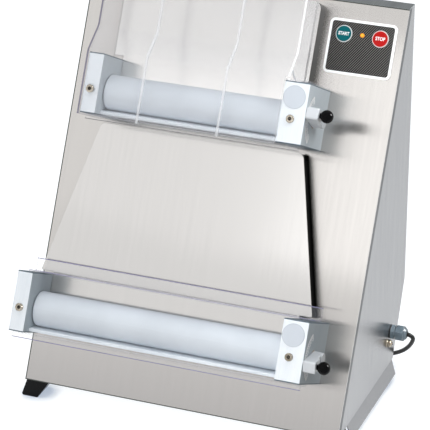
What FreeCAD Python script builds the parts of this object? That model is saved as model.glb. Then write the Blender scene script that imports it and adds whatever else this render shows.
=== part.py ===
import FreeCAD, Part
import math
import os

V = FreeCAD.Vector

# All lengths are in millimetres and all angles in degrees.
# The front face leans back. Its own frame is u to the right, v up the slope from the
# face's bottom edge, and n straight out of the face.

# Casing
body_width = 520.0
face_length = 659.0
face_lean = 27.2
top_depth = 26.5
bottom_depth = 276.0
rear_bend_height = 121.5
sheet = 1.5
flange_width = 12.0
edge_gap = 1.5
foot_height = 32.0
skirt_length = 24.0
skirt_angle = 20.0
skirt_front = 46.0
skirt_rear = 272.0
skirt_relief = 4.0
screw_head_height = 2.4
cover_screw_low = 30.0
cover_screw_high = 40.0
vent_rows = 2
vent_columns = 12
vent_length = 34.0
vent_width = 4.0
vent_pitch = 16.0

# Feet
foot_top_width = 38.0
foot_bottom_width = 28.0
foot_length = 38.0
foot_front = 4.0
foot_rear_start = 226.0
foot_rear_inset = 12.0

# Roller units: how far the brackets stand in from the casing's sides, how far the upper
# lever pivots lie below the face's top edge and the lower ones above its bottom edge
upper_left_inset = 59.5
upper_right_inset = 102.0
upper_pivot_drop = 191.5
upper_lever_angle = 12.0
lower_left_inset = 3.0
lower_right_inset = 42.5
lower_pivot_v = 119.2
lower_lever_angle = -18.0
left_bracket_width = 24.8
right_bracket_width = 40.0
bracket_height = 94.0
bracket_below = 41.5
bracket_depth = 105.0
bracket_wall = 4.0
bracket_round = 1.2
bracket_screw_drop = 4.0
bracket_screw_in = 17.5
lobe_depth = 14.0
window_half = 33.0

# Rollers and their shafts
roller_radius = 27.5
roller_end_gap = 1.2
roller_end_round = 3.0
rear_axis_n = 2.5
nip_gap = 2.2
eccentricity = 2.5
journal_radius = 8.0
eccentric_radius = 12.0
bush_radius = 11.0
bush_flange_radius = 13.5
bush_flange = 2.0
roller_bush_radius = 16.0
roller_bush_length = 26.0
running_gap = 0.05
seat_gap = 0.02

# Levers
lever_thickness = 15.0
lever_side_gap = 0.5
lever_reach = 46.0
lever_end_thickness = 19.0
lever_end_length = 22.0
lever_half_height = 9.2
lever_hub_radius = 9.8
lever_hub_length = 16.5
lever_disc = 3.2
lever_groove = 1.2
lever_bore_radius = 7.0
knob_radius = 10.0
knob_distance = 37.0
knob_centre_out = 30.3
plunger_radius = 2.6
plunger_tip_gap = 0.3
index_hole_radius = 1.6
index_first_angle = -48.0
index_pitch = 10.0
index_count = 10

# Drive
pulley_width = 10.0
driven_groove_radius = 24.0
drive_groove_radius = 20.0
pulley_lip = 5.0
belt_width = 5.6
belt_thickness = 4.5
belt_gap = 0.1
drive_y = 200.0
drive_z = 72.0
motor_radius = 57.0
motor_length = 165.0
motor_ribs = 5
motor_rib_start = 12.0
motor_rib_pitch = 21.0
motor_rib_width = 5.0
rib_depth = 5.0
cowl_length = 42.0
terminal_start = 30.0
terminal_length = 65.0
terminal_width = 64.0
terminal_rise = 14.0
gearbox_size = 100.0
gearbox_length = 70.0
gearbox_inset = 92.0
tensioner_radius = 12.0
tensioner_width = 8.0
tensioner_drop = 37.5
tensioner_back = 17.0
tensioner_pin_radius = 4.0

# Dough path
plate_height = 27.0
plate_above_axis = 18.5
slide_left_inset = 10.5
slide_right_inset = 29.0
slide_top_margin = 9.0
slide_corner = 12.0
slide_over_bracket = 6.0
slide_side_gap = 0.5
chute_under_bracket = 7.0
chute_top_left_inset = 8.0
chute_top_right_inset = 18.0
chute_left_inset = 4.6
chute_right_inset = 21.1
chute_over_bracket = 4.3
chute_side_gap = 0.7
chute_corner = 10.0
spacer_width = 8.0
spacer_inset = 2.0

# Clear guards
clear_sheet = 3.0
thin_clear = 2.5
guard_top_margin = 3.0
guard_low_bend_rise = 2.5
guard_bend_low = 14.0
guard_high_bend_rise = 44.0
guard_bend_high = 18.0
guard_upper_n = 83.0
guard_right_inset = 33.5
guard_foot_n = 72.0
guard_lap = 0.5
cheek_rise = 16.0
cheek_back = 9.7
cheek_foot_round = 13.0
left_rib_inset = 97.0
right_rib_inset = 227.3
rib_width = 3.4
rib_thickness = 3.2
rib_hook = 2.5
lip_height = 19.5
lower_lip_n = 47.5
lower_shelf_front = 73.0
bottom_strip_back = 76.0
bottom_lip_drop = 6.0
upper_strip_left_inset = 10.5
upper_strip_right_inset = 2.0
lower_strip_left_inset = 7.0
lower_strip_right_inset = -2.0

# Controls
pad_side_margin = 12.8
pad_top_margin = 26.8
pad_width = 107.0
pad_height = 84.4
pad_corner = 8.0
pad_thickness = 2.0
button_radius = 13.0
button_clearance = 0.3
button_height = 3.2
button_lift = 0.9
stem_radius = 8.0
stem_depth = 6.0
start_across = 24.3
start_down = 22.7
stop_across = 82.5
stop_down = 23.7
lamp_across = 53.6
lamp_down = 22.0
lamp_radius = 3.5
box_depth = 30.0
box_margin = 5.0

# Mains entry
gland_y = 262.6
gland_z = 55.2
gland_thread_radius = 10.0
gland_flat = 22.0
gland_lock_flat = 24.0
gland_length = 28.0
gland_mouth = 4.5
cord_diameter = 6.8
earth_y = 241.7
earth_z = 45.0
earth_reach = 9.3
stud_radius = 3.0

# Free cord: route from the gland nut to the floor behind the casing, in the casing's
# frame, whose zero is the bottom edge of the front face
cord_route = [
    (283.5, 262.6, 55.2),
    (288.0, 262.6, 55.2),
    (292.2, 263.8, 53.2),
    (294.7, 266.0, 49.7),
    (295.0, 268.9, 45.0),
    (291.8, 274.6, 36.2),
    (284.0, 283.5, 22.0),
    (271.0, 294.2, 6.4),
    (251.5, 306.0, -8.6),
    (226.0, 320.5, -21.6),
    (196.0, 336.5, -28.6),
    (163.0, 351.5, -28.6),
    (131.0, 369.0, -28.6),
    (102.0, 388.0, -28.6),
    (74.0, 397.0, -28.6),
    (40.0, 397.0, -28.6),
]
coil_x = 20.0
coil_outer_radius = 49.0
coil_pitch = 7.6
coil_half_turns = 6
coil_layer_rise = 7.4
coil_check_span = 60.0
plug_length = 40.0
plug_width = 36.0
pin_length = 19.0
pin_radius = 2.4
pin_pitch = 13.0

# Worked-out places
lean = math.radians(face_lean)
half_width = body_width / 2
face_top_y = face_length * math.sin(lean)
face_top_z = face_length * math.cos(lean)
rear_y = face_top_y + top_depth
upper_left_edge = -half_width + upper_left_inset
upper_right_edge = half_width - upper_right_inset
upper_pivot_v = face_length - upper_pivot_drop
upper_bottom_v = upper_pivot_v - bracket_below
upper_top_v = upper_bottom_v + bracket_height
lower_left_edge = -half_width + lower_left_inset
lower_right_edge = half_width - lower_right_inset
lower_bottom_v = lower_pivot_v - bracket_below
lower_top_v = lower_bottom_v + bracket_height
gearbox_left = -half_width + gearbox_inset
slide_left = upper_left_edge + slide_left_inset
slide_right = upper_right_edge - slide_right_inset
slide_top = face_length - slide_top_margin
slide_shoulder = upper_top_v + slide_over_bracket
chute_top = upper_bottom_v - chute_under_bracket
chute_top_left = upper_left_edge + chute_top_left_inset
chute_top_right = upper_right_edge - chute_top_right_inset
chute_shoulder_left = lower_left_edge + chute_left_inset
chute_shoulder_right = lower_right_edge - chute_right_inset
chute_shoulder = lower_top_v + chute_over_bracket
guard_top = face_length - guard_top_margin
guard_knee_low = upper_top_v + guard_low_bend_rise
guard_knee_high = upper_top_v + guard_high_bend_rise
guard_right = upper_right_edge - guard_right_inset
pad_right = half_width - pad_side_margin
pad_left = pad_right - pad_width
pad_high = face_length - pad_top_margin
pad_low = pad_high - pad_height
start_place = (pad_left + start_across, pad_high - start_down)
stop_place = (pad_left + stop_across, pad_high - stop_down)
lamp_place = (pad_left + lamp_across, pad_high - lamp_down)
bottom_strip_n = bracket_depth
front_reach_v = lower_bottom_v - thin_clear - bottom_lip_drop
front_reach_y = front_reach_v * math.sin(lean) - bottom_strip_n * math.cos(lean)
origin_y = (front_reach_y + rear_y + screw_head_height) / 2
pivot_n = rear_axis_n + 2 * roller_radius + nip_gap
guard_front_n = bracket_depth + 0.3 + clear_sheet


def save(name, shape):
    shape.exportStep("parts/" + name + ".step")
    print(name, len(shape.Solids), round(shape.Volume, 1))


def block(low, high):
    return Part.makeBox(high[0] - low[0], high[1] - low[1], high[2] - low[2], V(*low))


def rod(radius, start, end):
    start = V(*start)
    end = V(*end)
    return Part.makeCylinder(radius, (end - start).Length, start, end - start)


def in_body(shape):
    """Move a shape from the casing's frame to the model's own frame."""
    placed = shape.copy()
    placed.translate(V(0, -origin_y, foot_height))
    return placed


def on_face(shape):
    """Move a shape from the leaning face's frame to the model's own frame."""
    placed = shape.copy()
    placed.rotate(V(0, 0, 0), V(1, 0, 0), 90 - face_lean)
    placed.translate(V(0, -origin_y, foot_height))
    return placed


def rounded_wire(points, place):
    """Closed outline through points (a, b, corner radius); place turns (a, b) into a vector."""
    count = len(points)
    edges = []
    ends = []
    for index in range(count):
        here = V(points[index][0], points[index][1], 0)
        before = V(points[index - 1][0], points[index - 1][1], 0)
        after = V(points[(index + 1) % count][0], points[(index + 1) % count][1], 0)
        radius = points[index][2] if len(points[index]) > 2 else 0
        into = (here - before).normalize()
        out = (after - here).normalize()
        turn = into.getAngle(out)
        if radius <= 0 or turn < 1e-6:
            ends.append((here, None, here))
            continue
        back = radius * math.tan(turn / 2)
        start = here - into * back
        end = here + out * back
        centre_way = (out - into).normalize()
        middle = here + centre_way * (radius / math.cos(turn / 2) - radius)
        ends.append((start, middle, end))
    for index in range(count):
        start, middle, end = ends[index]
        if middle is not None:
            bend = [place(point.x, point.y) for point in (start, middle, end)]
            edges.append(Part.Arc(*bend).toShape())
        following = ends[(index + 1) % count][0]
        if (following - end).Length > 1e-6:
            run = [place(point.x, point.y) for point in (end, following)]
            edges.append(Part.LineSegment(*run).toShape())
    return Part.Wire(edges)


def prism_u(points, start, end):
    """Solid with a (v, n) or (y, z) outline, run along the width."""
    wire = rounded_wire(points, lambda a, b: V(start, a, b))
    return Part.Face(wire).extrude(V(end - start, 0, 0))


def prism_n(points, low, high):
    """Solid with a (u, v) outline, run straight out of the face."""
    wire = rounded_wire(points, lambda a, b: V(a, b, low))
    return Part.Face(wire).extrude(V(0, 0, high - low))


def bent_strip(path, thickness):
    """Outline of a bent sheet: the path has corner radii, the sheet lies on its left."""
    count = len(path)
    points = [V(step[0], step[1], 0) for step in path]
    ways = [(points[i + 1] - points[i]).normalize() for i in range(count - 1)]
    lefts = [V(-way.y, way.x, 0) for way in ways]
    far = []
    for index in range(count):
        if index == 0:
            far.append((points[0] + lefts[0] * thickness, 0))
            continue
        if index == count - 1:
            far.append((points[-1] + lefts[-1] * thickness, 0))
            continue
        middle = lefts[index - 1] + lefts[index]
        reach = middle * (2 * thickness / middle.dot(middle))
        turns_left = ways[index - 1].cross(ways[index]).z > 0
        radius = path[index][2]
        other = radius - thickness if turns_left else radius + thickness
        far.append((points[index] + reach, max(other, 0)))
    near = [(step[0], step[1], step[2]) for step in path]
    return near + [(point.x, point.y, radius) for point, radius in reversed(far)]


def inset(points, distances):
    """Closed clockwise outline with each side moved inwards by its own distance."""
    count = len(points)
    lines = []
    for index in range(count):
        start = V(points[index][0], points[index][1], 0)
        end = V(points[(index + 1) % count][0], points[(index + 1) % count][1], 0)
        way = (end - start).normalize()
        lines.append((start + V(way.y, -way.x, 0) * distances[index], way))
    result = []
    for index in range(count):
        first, way_a = lines[index - 1]
        second, way_b = lines[index]
        across = way_a.cross(way_b).z
        along = (second - first).cross(way_b).z / across
        corner = first + way_a * along
        result.append((corner.x, corner.y))
    return result


def rims(shape, axis, place):
    """Round edges whose middle lies at this place along an axis."""
    return [edge for edge in shape.Edges
            if edge.Curve.TypeId == "Part::GeomCircle" and abs(edge.CenterOfMass[axis] - place) < 0.01]


def hexagon(flat, start, end, y, z):
    """Hexagonal prism along the width, with its flats this far apart."""
    corner = flat / math.sqrt(3)
    points = []
    for side in range(6):
        angle = math.radians(60 * side + 30)
        points.append((y + corner * math.cos(angle), z + corner * math.sin(angle)))
    return prism_u(points, start, end)


# Casing
outline = [
    (0.0, 0.0),
    (face_top_y, face_top_z),
    (rear_y, face_top_z),
    (rear_y, rear_bend_height),
    (bottom_depth, 0.0),
]
inner = inset(outline, (sheet, sheet, sheet, sheet, 0.0))
core = inset(outline, (2 * sheet, 2 * sheet, 2 * sheet, 2 * sheet, -edge_gap))


def unit_places(left_edge, right_edge, pivot_v, angle):
    """Every place that a roller unit takes from its own few sizes."""
    tilt = math.radians(angle)
    places = {
        "left": left_edge,
        "left_in": left_edge + left_bracket_width,
        "right_in": right_edge - right_bracket_width,
        "right": right_edge,
        "pivot_v": pivot_v,
        "pivot_n": pivot_n,
        "angle": angle,
        "bottom": pivot_v - bracket_below,
        "top": pivot_v - bracket_below + bracket_height,
        "axis_v": pivot_v - eccentricity * math.cos(tilt),
        "axis_n": pivot_n + eccentricity * math.sin(tilt),
    }
    places["rear_v"] = pivot_v - eccentricity
    places["roller_start"] = places["left_in"] + roller_end_gap
    places["roller_end"] = places["right_in"] - roller_end_gap
    places["pulley_u"] = left_edge + bracket_wall + edge_gap + pulley_width / 2 - 0.5
    return places


upper = unit_places(upper_left_edge, upper_right_edge, upper_pivot_v, upper_lever_angle)
lower = unit_places(lower_left_edge, lower_right_edge, lower_pivot_v, lower_lever_angle)


def window(unit):
    """Opening in the front panel behind a roller unit."""
    low = (unit["left"] + bracket_wall, unit["rear_v"] - window_half, -3 * sheet)
    high = (unit["right"] - bracket_wall, unit["rear_v"] + window_half, sheet)
    return block(low, high)


def front_panel():
    strip = [outline[0], outline[1], inner[1], inner[0]]
    panel = in_body(prism_u(strip, -half_width, half_width))
    for unit in (upper, lower):
        panel = panel.cut(on_face(window(unit)))
    for place in (start_place, stop_place):
        hole = rod(stem_radius + button_clearance, (*place, -3 * sheet), (*place, sheet))
        panel = panel.cut(on_face(hole))
    lamp_hole = rod(lamp_radius + button_clearance, (*lamp_place, -3 * sheet), (*lamp_place, sheet))
    return panel.cut(on_face(lamp_hole))


def side_panel(side):
    """Side wall with flanges on three edges and a flared skirt along the bottom."""
    wall = prism_u(inner, half_width - sheet, half_width)
    rim = prism_u(inner, half_width - sheet - flange_width, half_width - sheet)
    rim = rim.cut(prism_u(core, half_width - 2 * sheet - flange_width, half_width))
    rim = rim.cut(block((0, -sheet, -sheet), (body_width, bottom_depth * 2, sheet + edge_gap)))
    flare = math.radians(skirt_angle)
    along = V(math.sin(flare), 0, -math.cos(flare))
    top = V(half_width, 0, 0) - along * sheet
    length = skirt_length + sheet
    corners = [
        top + V(0, skirt_front, 0),
        top + V(0, skirt_rear, 0),
        top + V(0, skirt_rear - skirt_relief, 0) + along * length,
        top + V(0, skirt_front + skirt_relief, 0) + along * length,
    ]
    skirt = Part.Face(Part.makePolygon(corners + [corners[0]]))
    skirt = skirt.extrude(V(-math.cos(flare), 0, -math.sin(flare)) * sheet)
    shape = wall.fuse([rim, skirt]).removeSplitter()
    if side < 0:
        return in_body(shape.mirror(V(0, 0, 0), V(1, 0, 0))).cut(on_face(window(lower)))
    for radius, y, z in ((gland_thread_radius, gland_y, gland_z), (stud_radius, earth_y, earth_z)):
        shape = shape.cut(rod(radius + 0.2, (half_width - 3 * sheet, y, z), (half_width + sheet, y, z)))
    return in_body(shape)


def top_cover():
    strip = [outline[1], outline[2], inner[2], inner[1]]
    cover = prism_u(strip, -half_width, half_width)
    reach = half_width - sheet - flange_width - edge_gap
    leg = flange_width + sheet
    front, high = inner[1]
    rear = inner[2][0]
    step_y = leg * math.sin(lean)
    low = high - leg * math.cos(lean)
    across = sheet / math.cos(lean)
    front_leg = [(front, high), (front + across, high),
                 (front + across - step_y, low), (front - step_y, low)]
    rear_leg = [(rear - sheet, high), (rear, high), (rear, high - leg), (rear - sheet, high - leg)]
    cover = cover.fuse([prism_u(front_leg, -reach, reach), prism_u(rear_leg, -reach, reach)])
    return in_body(cover.removeSplitter())


def rear_cover():
    """Back plate with rows of ventilation slots."""
    strip = [outline[2], outline[3], outline[4], inner[4], inner[3], inner[2]]
    cover = prism_u(strip, -half_width, half_width)
    first = -(vent_columns - 1) / 2 * vent_pitch
    for row in range(vent_rows):
        low = rear_bend_height + 30 + row * (vent_length + 14)
        for column in range(vent_columns):
            x = first + column * vent_pitch
            half = vent_width / 2
            slot = [(x - half, low, half * 0.98), (x + half, low, half * 0.98),
                    (x + half, low + vent_length, half * 0.98), (x - half, low + vent_length, half * 0.98)]
            wire = rounded_wire(slot, lambda a, b: V(a, rear_y - 2 * sheet, b))
            cover = cover.cut(Part.Face(wire).extrude(V(0, 3 * sheet, 0)))
    return in_body(cover)


def base_pan():
    """Bottom plate with upturned front and rear flanges inside the casing."""
    up = flange_width / math.cos(lean)
    front_foot = inner[0]
    rear_foot = inner[4]
    rear_slope = V(inner[3][0] - rear_foot[0], inner[3][1] - rear_foot[1], 0).normalize() * flange_width
    path = [
        (front_foot[0] + up * math.sin(lean), front_foot[1] + up * math.cos(lean), 0),
        (front_foot[0], front_foot[1], 0),
        (rear_foot[0], rear_foot[1], 0),
        (rear_foot[0] + rear_slope.x, rear_foot[1] + rear_slope.y, 0),
    ]
    reach = half_width - sheet - 0.7
    pan = prism_u(bent_strip(path, sheet), -reach, reach)
    notch = half_width - sheet - flange_width - edge_gap
    for side in (-1, 1):
        low = min(side * notch, side * half_width)
        high = max(side * notch, side * half_width)
        pan = pan.cut(block((low, -rear_y, sheet), (high, rear_y, 3 * flange_width)))
    return in_body(pan)


def casing_screws():
    """Pan-head screws that hold the rear cover to the side panels' flanges."""
    screws = []
    low = rear_bend_height + cover_screw_low
    high = face_top_z - cover_screw_high
    for side in (-1, 1):
        for height in (low, (low + high) / 2, high):
            x = side * (half_width - sheet - flange_width / 2)
            head = rod(3.6, (x, rear_y, height), (x, rear_y + screw_head_height, height))
            screws.append(head.makeChamfer(1.0, rims(head, 1, rear_y + screw_head_height)))
    return in_body(Part.Compound(screws))


def foot(side, start, inset_by):
    """Moulded wedge foot whose outer face follows the skirt's slope."""
    flare = math.tan(math.radians(skirt_angle))
    outer_top = half_width - 2 - inset_by
    outer_bottom = outer_top + foot_height * flare
    section = [
        (side * outer_top, 0.0, 0),
        (side * outer_bottom, -foot_height, 3.0),
        (side * (outer_bottom - foot_bottom_width), -foot_height, 3.0),
        (side * (outer_top - foot_top_width), 0.0, 0),
    ]
    wire = rounded_wire(section, lambda a, b: V(a, start, b))
    body = Part.Face(wire).extrude(V(0, foot_length, 0))
    middle = outer_bottom - foot_bottom_width / 2
    recess = rod(7.0, (side * middle, start + foot_length / 2, -foot_height - 1),
                 (side * middle, start + foot_length / 2, -foot_height + 6))
    return body.cut(recess)


def feet():
    group = []
    for side in (-1, 1):
        group.append(foot(side, foot_front, 0))
        group.append(foot(side, foot_rear_start, foot_rear_inset))
    return in_body(Part.Compound(group))


# Dough path
def slide_outline(margin, low):
    """Plan of the upper slide: wide above the brackets, narrow between them."""
    corner = max(slide_corner - margin, 1.0)
    left_in = upper["left_in"] + slide_side_gap
    right_in = upper["right_in"] - slide_side_gap
    return [
        (left_in + margin, low),
        (right_in - margin, low),
        (right_in - margin, slide_shoulder + margin),
        (slide_right - margin, slide_shoulder + margin, 2),
        (slide_right - margin, slide_top - margin, corner),
        (slide_left + margin, slide_top - margin, corner),
        (slide_left + margin, slide_shoulder + margin, 2),
        (left_in + margin, slide_shoulder + margin),
    ]


def upper_slide():
    low = upper["rear_v"] + plate_above_axis
    shape = prism_n(slide_outline(0, low), 0, plate_height)
    shape = shape.cut(prism_n(slide_outline(sheet, low - 10), -sheet, plate_height - sheet))
    under = plate_height - sheet
    below = block((-half_width, low - 20, -sheet), (half_width, slide_shoulder + sheet, under))
    return on_face(shape.cut(below))


def lower_chute():
    low = lower["rear_v"] + plate_above_axis
    left_in = lower["left_in"] + chute_side_gap
    right_in = lower["right_in"] - chute_side_gap
    plan = [
        (left_in, low),
        (right_in, low),
        (right_in, chute_shoulder),
        (chute_shoulder_right, chute_shoulder, 2),
        (chute_top_right, chute_top, chute_corner),
        (chute_top_left, chute_top, chute_corner),
        (chute_shoulder_left, chute_shoulder, 2),
        (left_in, chute_shoulder),
    ]
    return on_face(prism_n(plan, plate_height - sheet, plate_height))


def chute_spacers():
    """Black strips that carry the chute plate off the face along both slanted edges."""
    top = chute_top - chute_corner
    share = (top - chute_shoulder) / (chute_top - chute_shoulder)
    strips = []
    left = (chute_shoulder_left, chute_top_left, 1)
    right = (chute_shoulder_right, chute_top_right, -1)
    for low_u, high_u, way in (left, right):
        top_u = low_u + (high_u - low_u) * share
        near = way * spacer_inset
        far = way * (spacer_inset + spacer_width)
        plan = [(low_u + near, chute_shoulder), (low_u + far, chute_shoulder),
                (top_u + far, top), (top_u + near, top)]
        strips.append(prism_n(plan, 0, plate_height - sheet))
    return on_face(Part.Compound(strips))


# Roller units
def bracket(unit, side):
    """Hollow end bracket: closed front, open back, with a lobe that carries the rear shaft."""
    if side < 0:
        start, end = unit["left"], unit["left_in"]
        cheek = (end - bracket_wall, end)
    else:
        start, end = unit["right_in"], unit["right"]
        cheek = (start, start + bracket_wall)
    bottom, top = unit["bottom"], unit["top"]
    shell = block((start, bottom, 0), (end, top, bracket_depth))
    rounded = [e for e in shell.Edges if min(v.Z for v in e.Vertexes) > 1 or
               (abs(e.Vertexes[0].Z - e.Vertexes[-1].Z) > 1)]
    shell = shell.makeFillet(bracket_round, rounded)
    wall = bracket_wall
    hollow = block((start + wall, bottom + wall, -1), (end - wall, top - wall, bracket_depth - wall))
    shell = shell.cut(hollow)
    rear = unit["rear_v"]
    lobe = [(rear - 22, wall), (rear - 22, 0), (rear - 15, -lobe_depth, 6), (rear + 15, -lobe_depth, 6),
            (rear + 22, 0), (rear + 22, wall)]
    shell = shell.fuse(prism_u(lobe, *cheek))
    seat = bush_radius + seat_gap
    pivot = (unit["pivot_v"], pivot_n)
    for centre in ((rear, rear_axis_n), pivot):
        shell = shell.cut(rod(seat, (cheek[0] - 1, *centre), (cheek[1] + 1, *centre)))
    if side > 0:
        shell = shell.cut(rod(seat, (end - wall - 1, *pivot), (end + 1, *pivot)))
        for index in range(index_count):
            angle = math.radians(index_first_angle + index * index_pitch)
            v = unit["pivot_v"] + knob_distance * math.sin(angle)
            n = pivot_n + knob_distance * math.cos(angle)
            shell = shell.cut(rod(index_hole_radius, (end - wall - 1, v, n), (end + 1, v, n)))
    u, v = screw_place(unit, side)
    shell = shell.cut(rod(3.1, (u, v, bracket_depth - wall - 1), (u, v, bracket_depth + 1)))
    return on_face(shell.removeSplitter())


def screw_place(unit, side):
    if side < 0:
        return unit["left"] + left_bracket_width / 2, unit["pivot_v"] - bracket_screw_drop
    return unit["right_in"] + bracket_screw_in, unit["pivot_v"] - bracket_screw_drop


def bracket_screws():
    """Pan-head screws in the brackets' front faces; one also clamps the upper guard."""
    screws = []
    for unit in (upper, lower):
        for side in (-1, 1):
            u, v = screw_place(unit, side)
            seat = bracket_depth
            if unit is upper and side < 0:
                seat = guard_front_n
            head = rod(6.0, (u, v, seat), (u, v, seat + 3.4))
            head = head.makeFillet(2.4, rims(head, 2, seat + 3.4))
            shank = rod(3.0, (u, v, bracket_depth - bracket_wall - 4), (u, v, seat + 0.5))
            screws.append(head.fuse(shank))
    return on_face(Part.Compound(screws))


def cap_discs():
    discs = []
    for unit in (upper, lower):
        u = unit["right_in"] + right_bracket_width / 2 - 1.5
        v = unit["pivot_v"] + 29.0
        discs.append(rod(17.5, (u, v, bracket_depth), (u, v, bracket_depth + 0.8)))
    return on_face(Part.Compound(discs))


def eccentric_axle(unit):
    """One bar whose thick middle is turned off-centre from the two end journals."""
    left = unit["left_in"] - bracket_wall - 5
    right = unit["right"] + lever_side_gap
    stop = unit["right"] + lever_side_gap + lever_hub_length - 3
    centre = (unit["pivot_v"], pivot_n)
    offset = (unit["axis_v"], unit["axis_n"])
    journals = rod(journal_radius, (left, *centre), (right, *centre))
    tip = rod(lever_bore_radius, (right - 1, *centre), (stop, *centre))
    start = unit["roller_start"] - roller_end_gap / 2
    end = unit["roller_end"] + roller_end_gap / 2
    middle = rod(eccentric_radius, (start, *offset), (end, *offset))
    return on_face(journals.fuse([tip, middle]).removeSplitter())


def roller_tube(unit, centre, bore_radius):
    """Bored roller with rounded end edges."""
    start, end = unit["roller_start"], unit["roller_end"]
    shape = rod(roller_radius, (start, *centre), (end, *centre))
    shape = shape.makeFillet(roller_end_round, rims(shape, 0, start) + rims(shape, 0, end))
    return on_face(shape.cut(rod(bore_radius, (start - 1, *centre), (end + 1, *centre))))


def front_roller(unit):
    centre = (unit["axis_v"], unit["axis_n"])
    return roller_tube(unit, centre, roller_bush_radius + seat_gap)


def roller_bushes(unit):
    centre = (unit["axis_v"], unit["axis_n"])
    bushes = []
    for start in (unit["roller_start"] + 0.5, unit["roller_end"] - 0.5 - roller_bush_length):
        end = start + roller_bush_length
        outer = rod(roller_bush_radius, (start, *centre), (end, *centre))
        hole = rod(eccentric_radius + running_gap, (start - 1, *centre), (end + 1, *centre))
        bushes.append(outer.cut(hole))
    return on_face(Part.Compound(bushes))


def rear_roller(unit):
    centre = (unit["rear_v"], rear_axis_n)
    return roller_tube(unit, centre, journal_radius + seat_gap)


def rear_shaft(unit):
    centre = (unit["rear_v"], rear_axis_n)
    left = unit["pulley_u"] - pulley_width / 2 - 0.4
    right = unit["right_in"] + bracket_wall + bush_flange + 4
    return on_face(rod(journal_radius, (left, *centre), (right, *centre)))


def flanged_bush(seat_start, seat_end, flange_way, centre, inner_radius):
    """Bush in a cheek: the flange lies against the cheek's hollow side."""
    if flange_way < 0:
        flange = (seat_start - bush_flange, seat_start)
    else:
        flange = (seat_end, seat_end + bush_flange)
    shape = rod(bush_radius, (seat_start, *centre), (seat_end, *centre))
    shape = shape.fuse(rod(bush_flange_radius, (flange[0], *centre), (flange[1], *centre)))
    low = min(seat_start, flange[0]) - 1
    high = max(seat_end, flange[1]) + 1
    return shape.cut(rod(inner_radius, (low, *centre), (high, *centre)))


def shaft_bushes():
    """Bushes for both rear shafts and both eccentric axles, and the drive shaft's end bearing."""
    bushes = []
    hole = journal_radius + running_gap
    for unit in (upper, lower):
        rear = (unit["rear_v"], rear_axis_n)
        pivot = (unit["pivot_v"], pivot_n)
        left_cheek = (unit["left_in"] - bracket_wall, unit["left_in"])
        right_cheek = (unit["right_in"], unit["right_in"] + bracket_wall)
        outer_cheek = (unit["right"] - bracket_wall, unit["right"])
        for centre in (rear, pivot):
            bushes.append(on_face(flanged_bush(*left_cheek, -1, centre, hole)))
            bushes.append(on_face(flanged_bush(*right_cheek, 1, centre, hole)))
        bushes.append(on_face(flanged_bush(*outer_cheek, -1, pivot, hole)))
    wall = -half_width + sheet
    end = rod(20.0, (wall, drive_y, drive_z), (wall + 5, drive_y, drive_z))
    end = end.cut(rod(hole, (wall + 1, drive_y, drive_z), (wall + 6, drive_y, drive_z)))
    bushes.append(in_body(end))
    return Part.Compound(bushes)


def pulley(centre_u, centre, groove, bore):
    """Grooved pulley turned from one profile."""
    half = pulley_width / 2
    lip = groove + pulley_lip
    profile = [(bore, -half), (lip, -half), (lip, -half + 1), (groove, -half + 1.9),
               (groove, half - 1.9), (lip, half - 1), (lip, half), (bore, half)]
    wire = rounded_wire(profile, lambda a, b: V(centre_u + b, centre[0] + a, centre[1]))
    return Part.Face(wire).revolve(V(0, *centre), V(1, 0, 0), 360)


def belt_face(wheels, thickness, u):
    """Band round wheels (a, b, radius to the band's middle, side), met in this order."""
    count = len(wheels)
    leaves = []
    for index in range(count):
        a, b, radius, side = wheels[index]
        c, d, other, other_side = wheels[(index + 1) % count]
        gap = V(c - a, d - b, 0)
        distance = gap.Length
        along = gap.normalize()
        across = V(-along.y, along.x, 0)
        lift = (radius * side - other * other_side) / distance
        flat = math.sqrt(1 - lift * lift)
        normal = along * lift - across * flat
        start = V(a, b, 0) + normal * radius * side
        end = V(c, d, 0) + normal * other * other_side
        leaves.append((start, end, normal))
    wires = []
    for offset in (thickness / 2, -thickness / 2):
        edges = []
        for index in range(count):
            start, end, normal = leaves[index]
            a, b, radius, side = wheels[index]
            before = leaves[index - 1]
            arc_start = before[1] + before[2] * offset
            arc_end = start + normal * offset
            sweep = math.atan2(before[2].cross(normal).z, before[2].dot(normal))
            if sweep * side < 0:
                sweep += side * 2 * math.pi
            first = math.atan2(before[2].y, before[2].x)
            way = V(math.cos(first + sweep / 2), math.sin(first + sweep / 2), 0)
            middle = V(a, b, 0) + way * (radius * side + offset)
            arc = [V(u, point.x, point.y) for point in (arc_start, middle, arc_end)]
            edges.append(Part.Arc(*arc).toShape())
            run_end = end + normal * offset
            edges.append(Part.LineSegment(V(u, arc_end.x, arc_end.y), V(u, run_end.x, run_end.y)).toShape())
        wires.append(Part.Wire(edges))
    return Part.Face(wires[0]).cut(Part.Face(wires[1])).extrude(V(belt_width, 0, 0))


def face_point(v, n):
    """Place (y, z) in the casing's frame of a point on the face."""
    return v * math.sin(lean) - n * math.cos(lean), v * math.cos(lean) + n * math.sin(lean)


def drive_belt(unit, wheels_between):
    """Belt from the drive shaft to a rear roller, with its own wheels in between."""
    half = belt_thickness / 2
    y, z = face_point(unit["rear_v"], rear_axis_n)
    wheels = [(y, z, driven_groove_radius + belt_gap + half, 1)]
    wheels += wheels_between
    wheels.append((drive_y, drive_z, drive_groove_radius + belt_gap + half, 1))
    return in_body(belt_face(wheels, belt_thickness, unit["pulley_u"] - belt_width / 2))


tensioner_v = upper["rear_v"] - tensioner_drop
tensioner_y, tensioner_z = face_point(tensioner_v, -tensioner_back)


def tensioner_wheel():
    u = upper["pulley_u"]
    centre = (tensioner_y, tensioner_z)
    half = tensioner_width / 2
    wheel = rod(tensioner_radius, (u - half, *centre), (u + half, *centre))
    bore = rod(tensioner_pin_radius + running_gap, (u - half - 1, *centre), (u + half + 1, *centre))
    return in_body(wheel.cut(bore))


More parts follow.
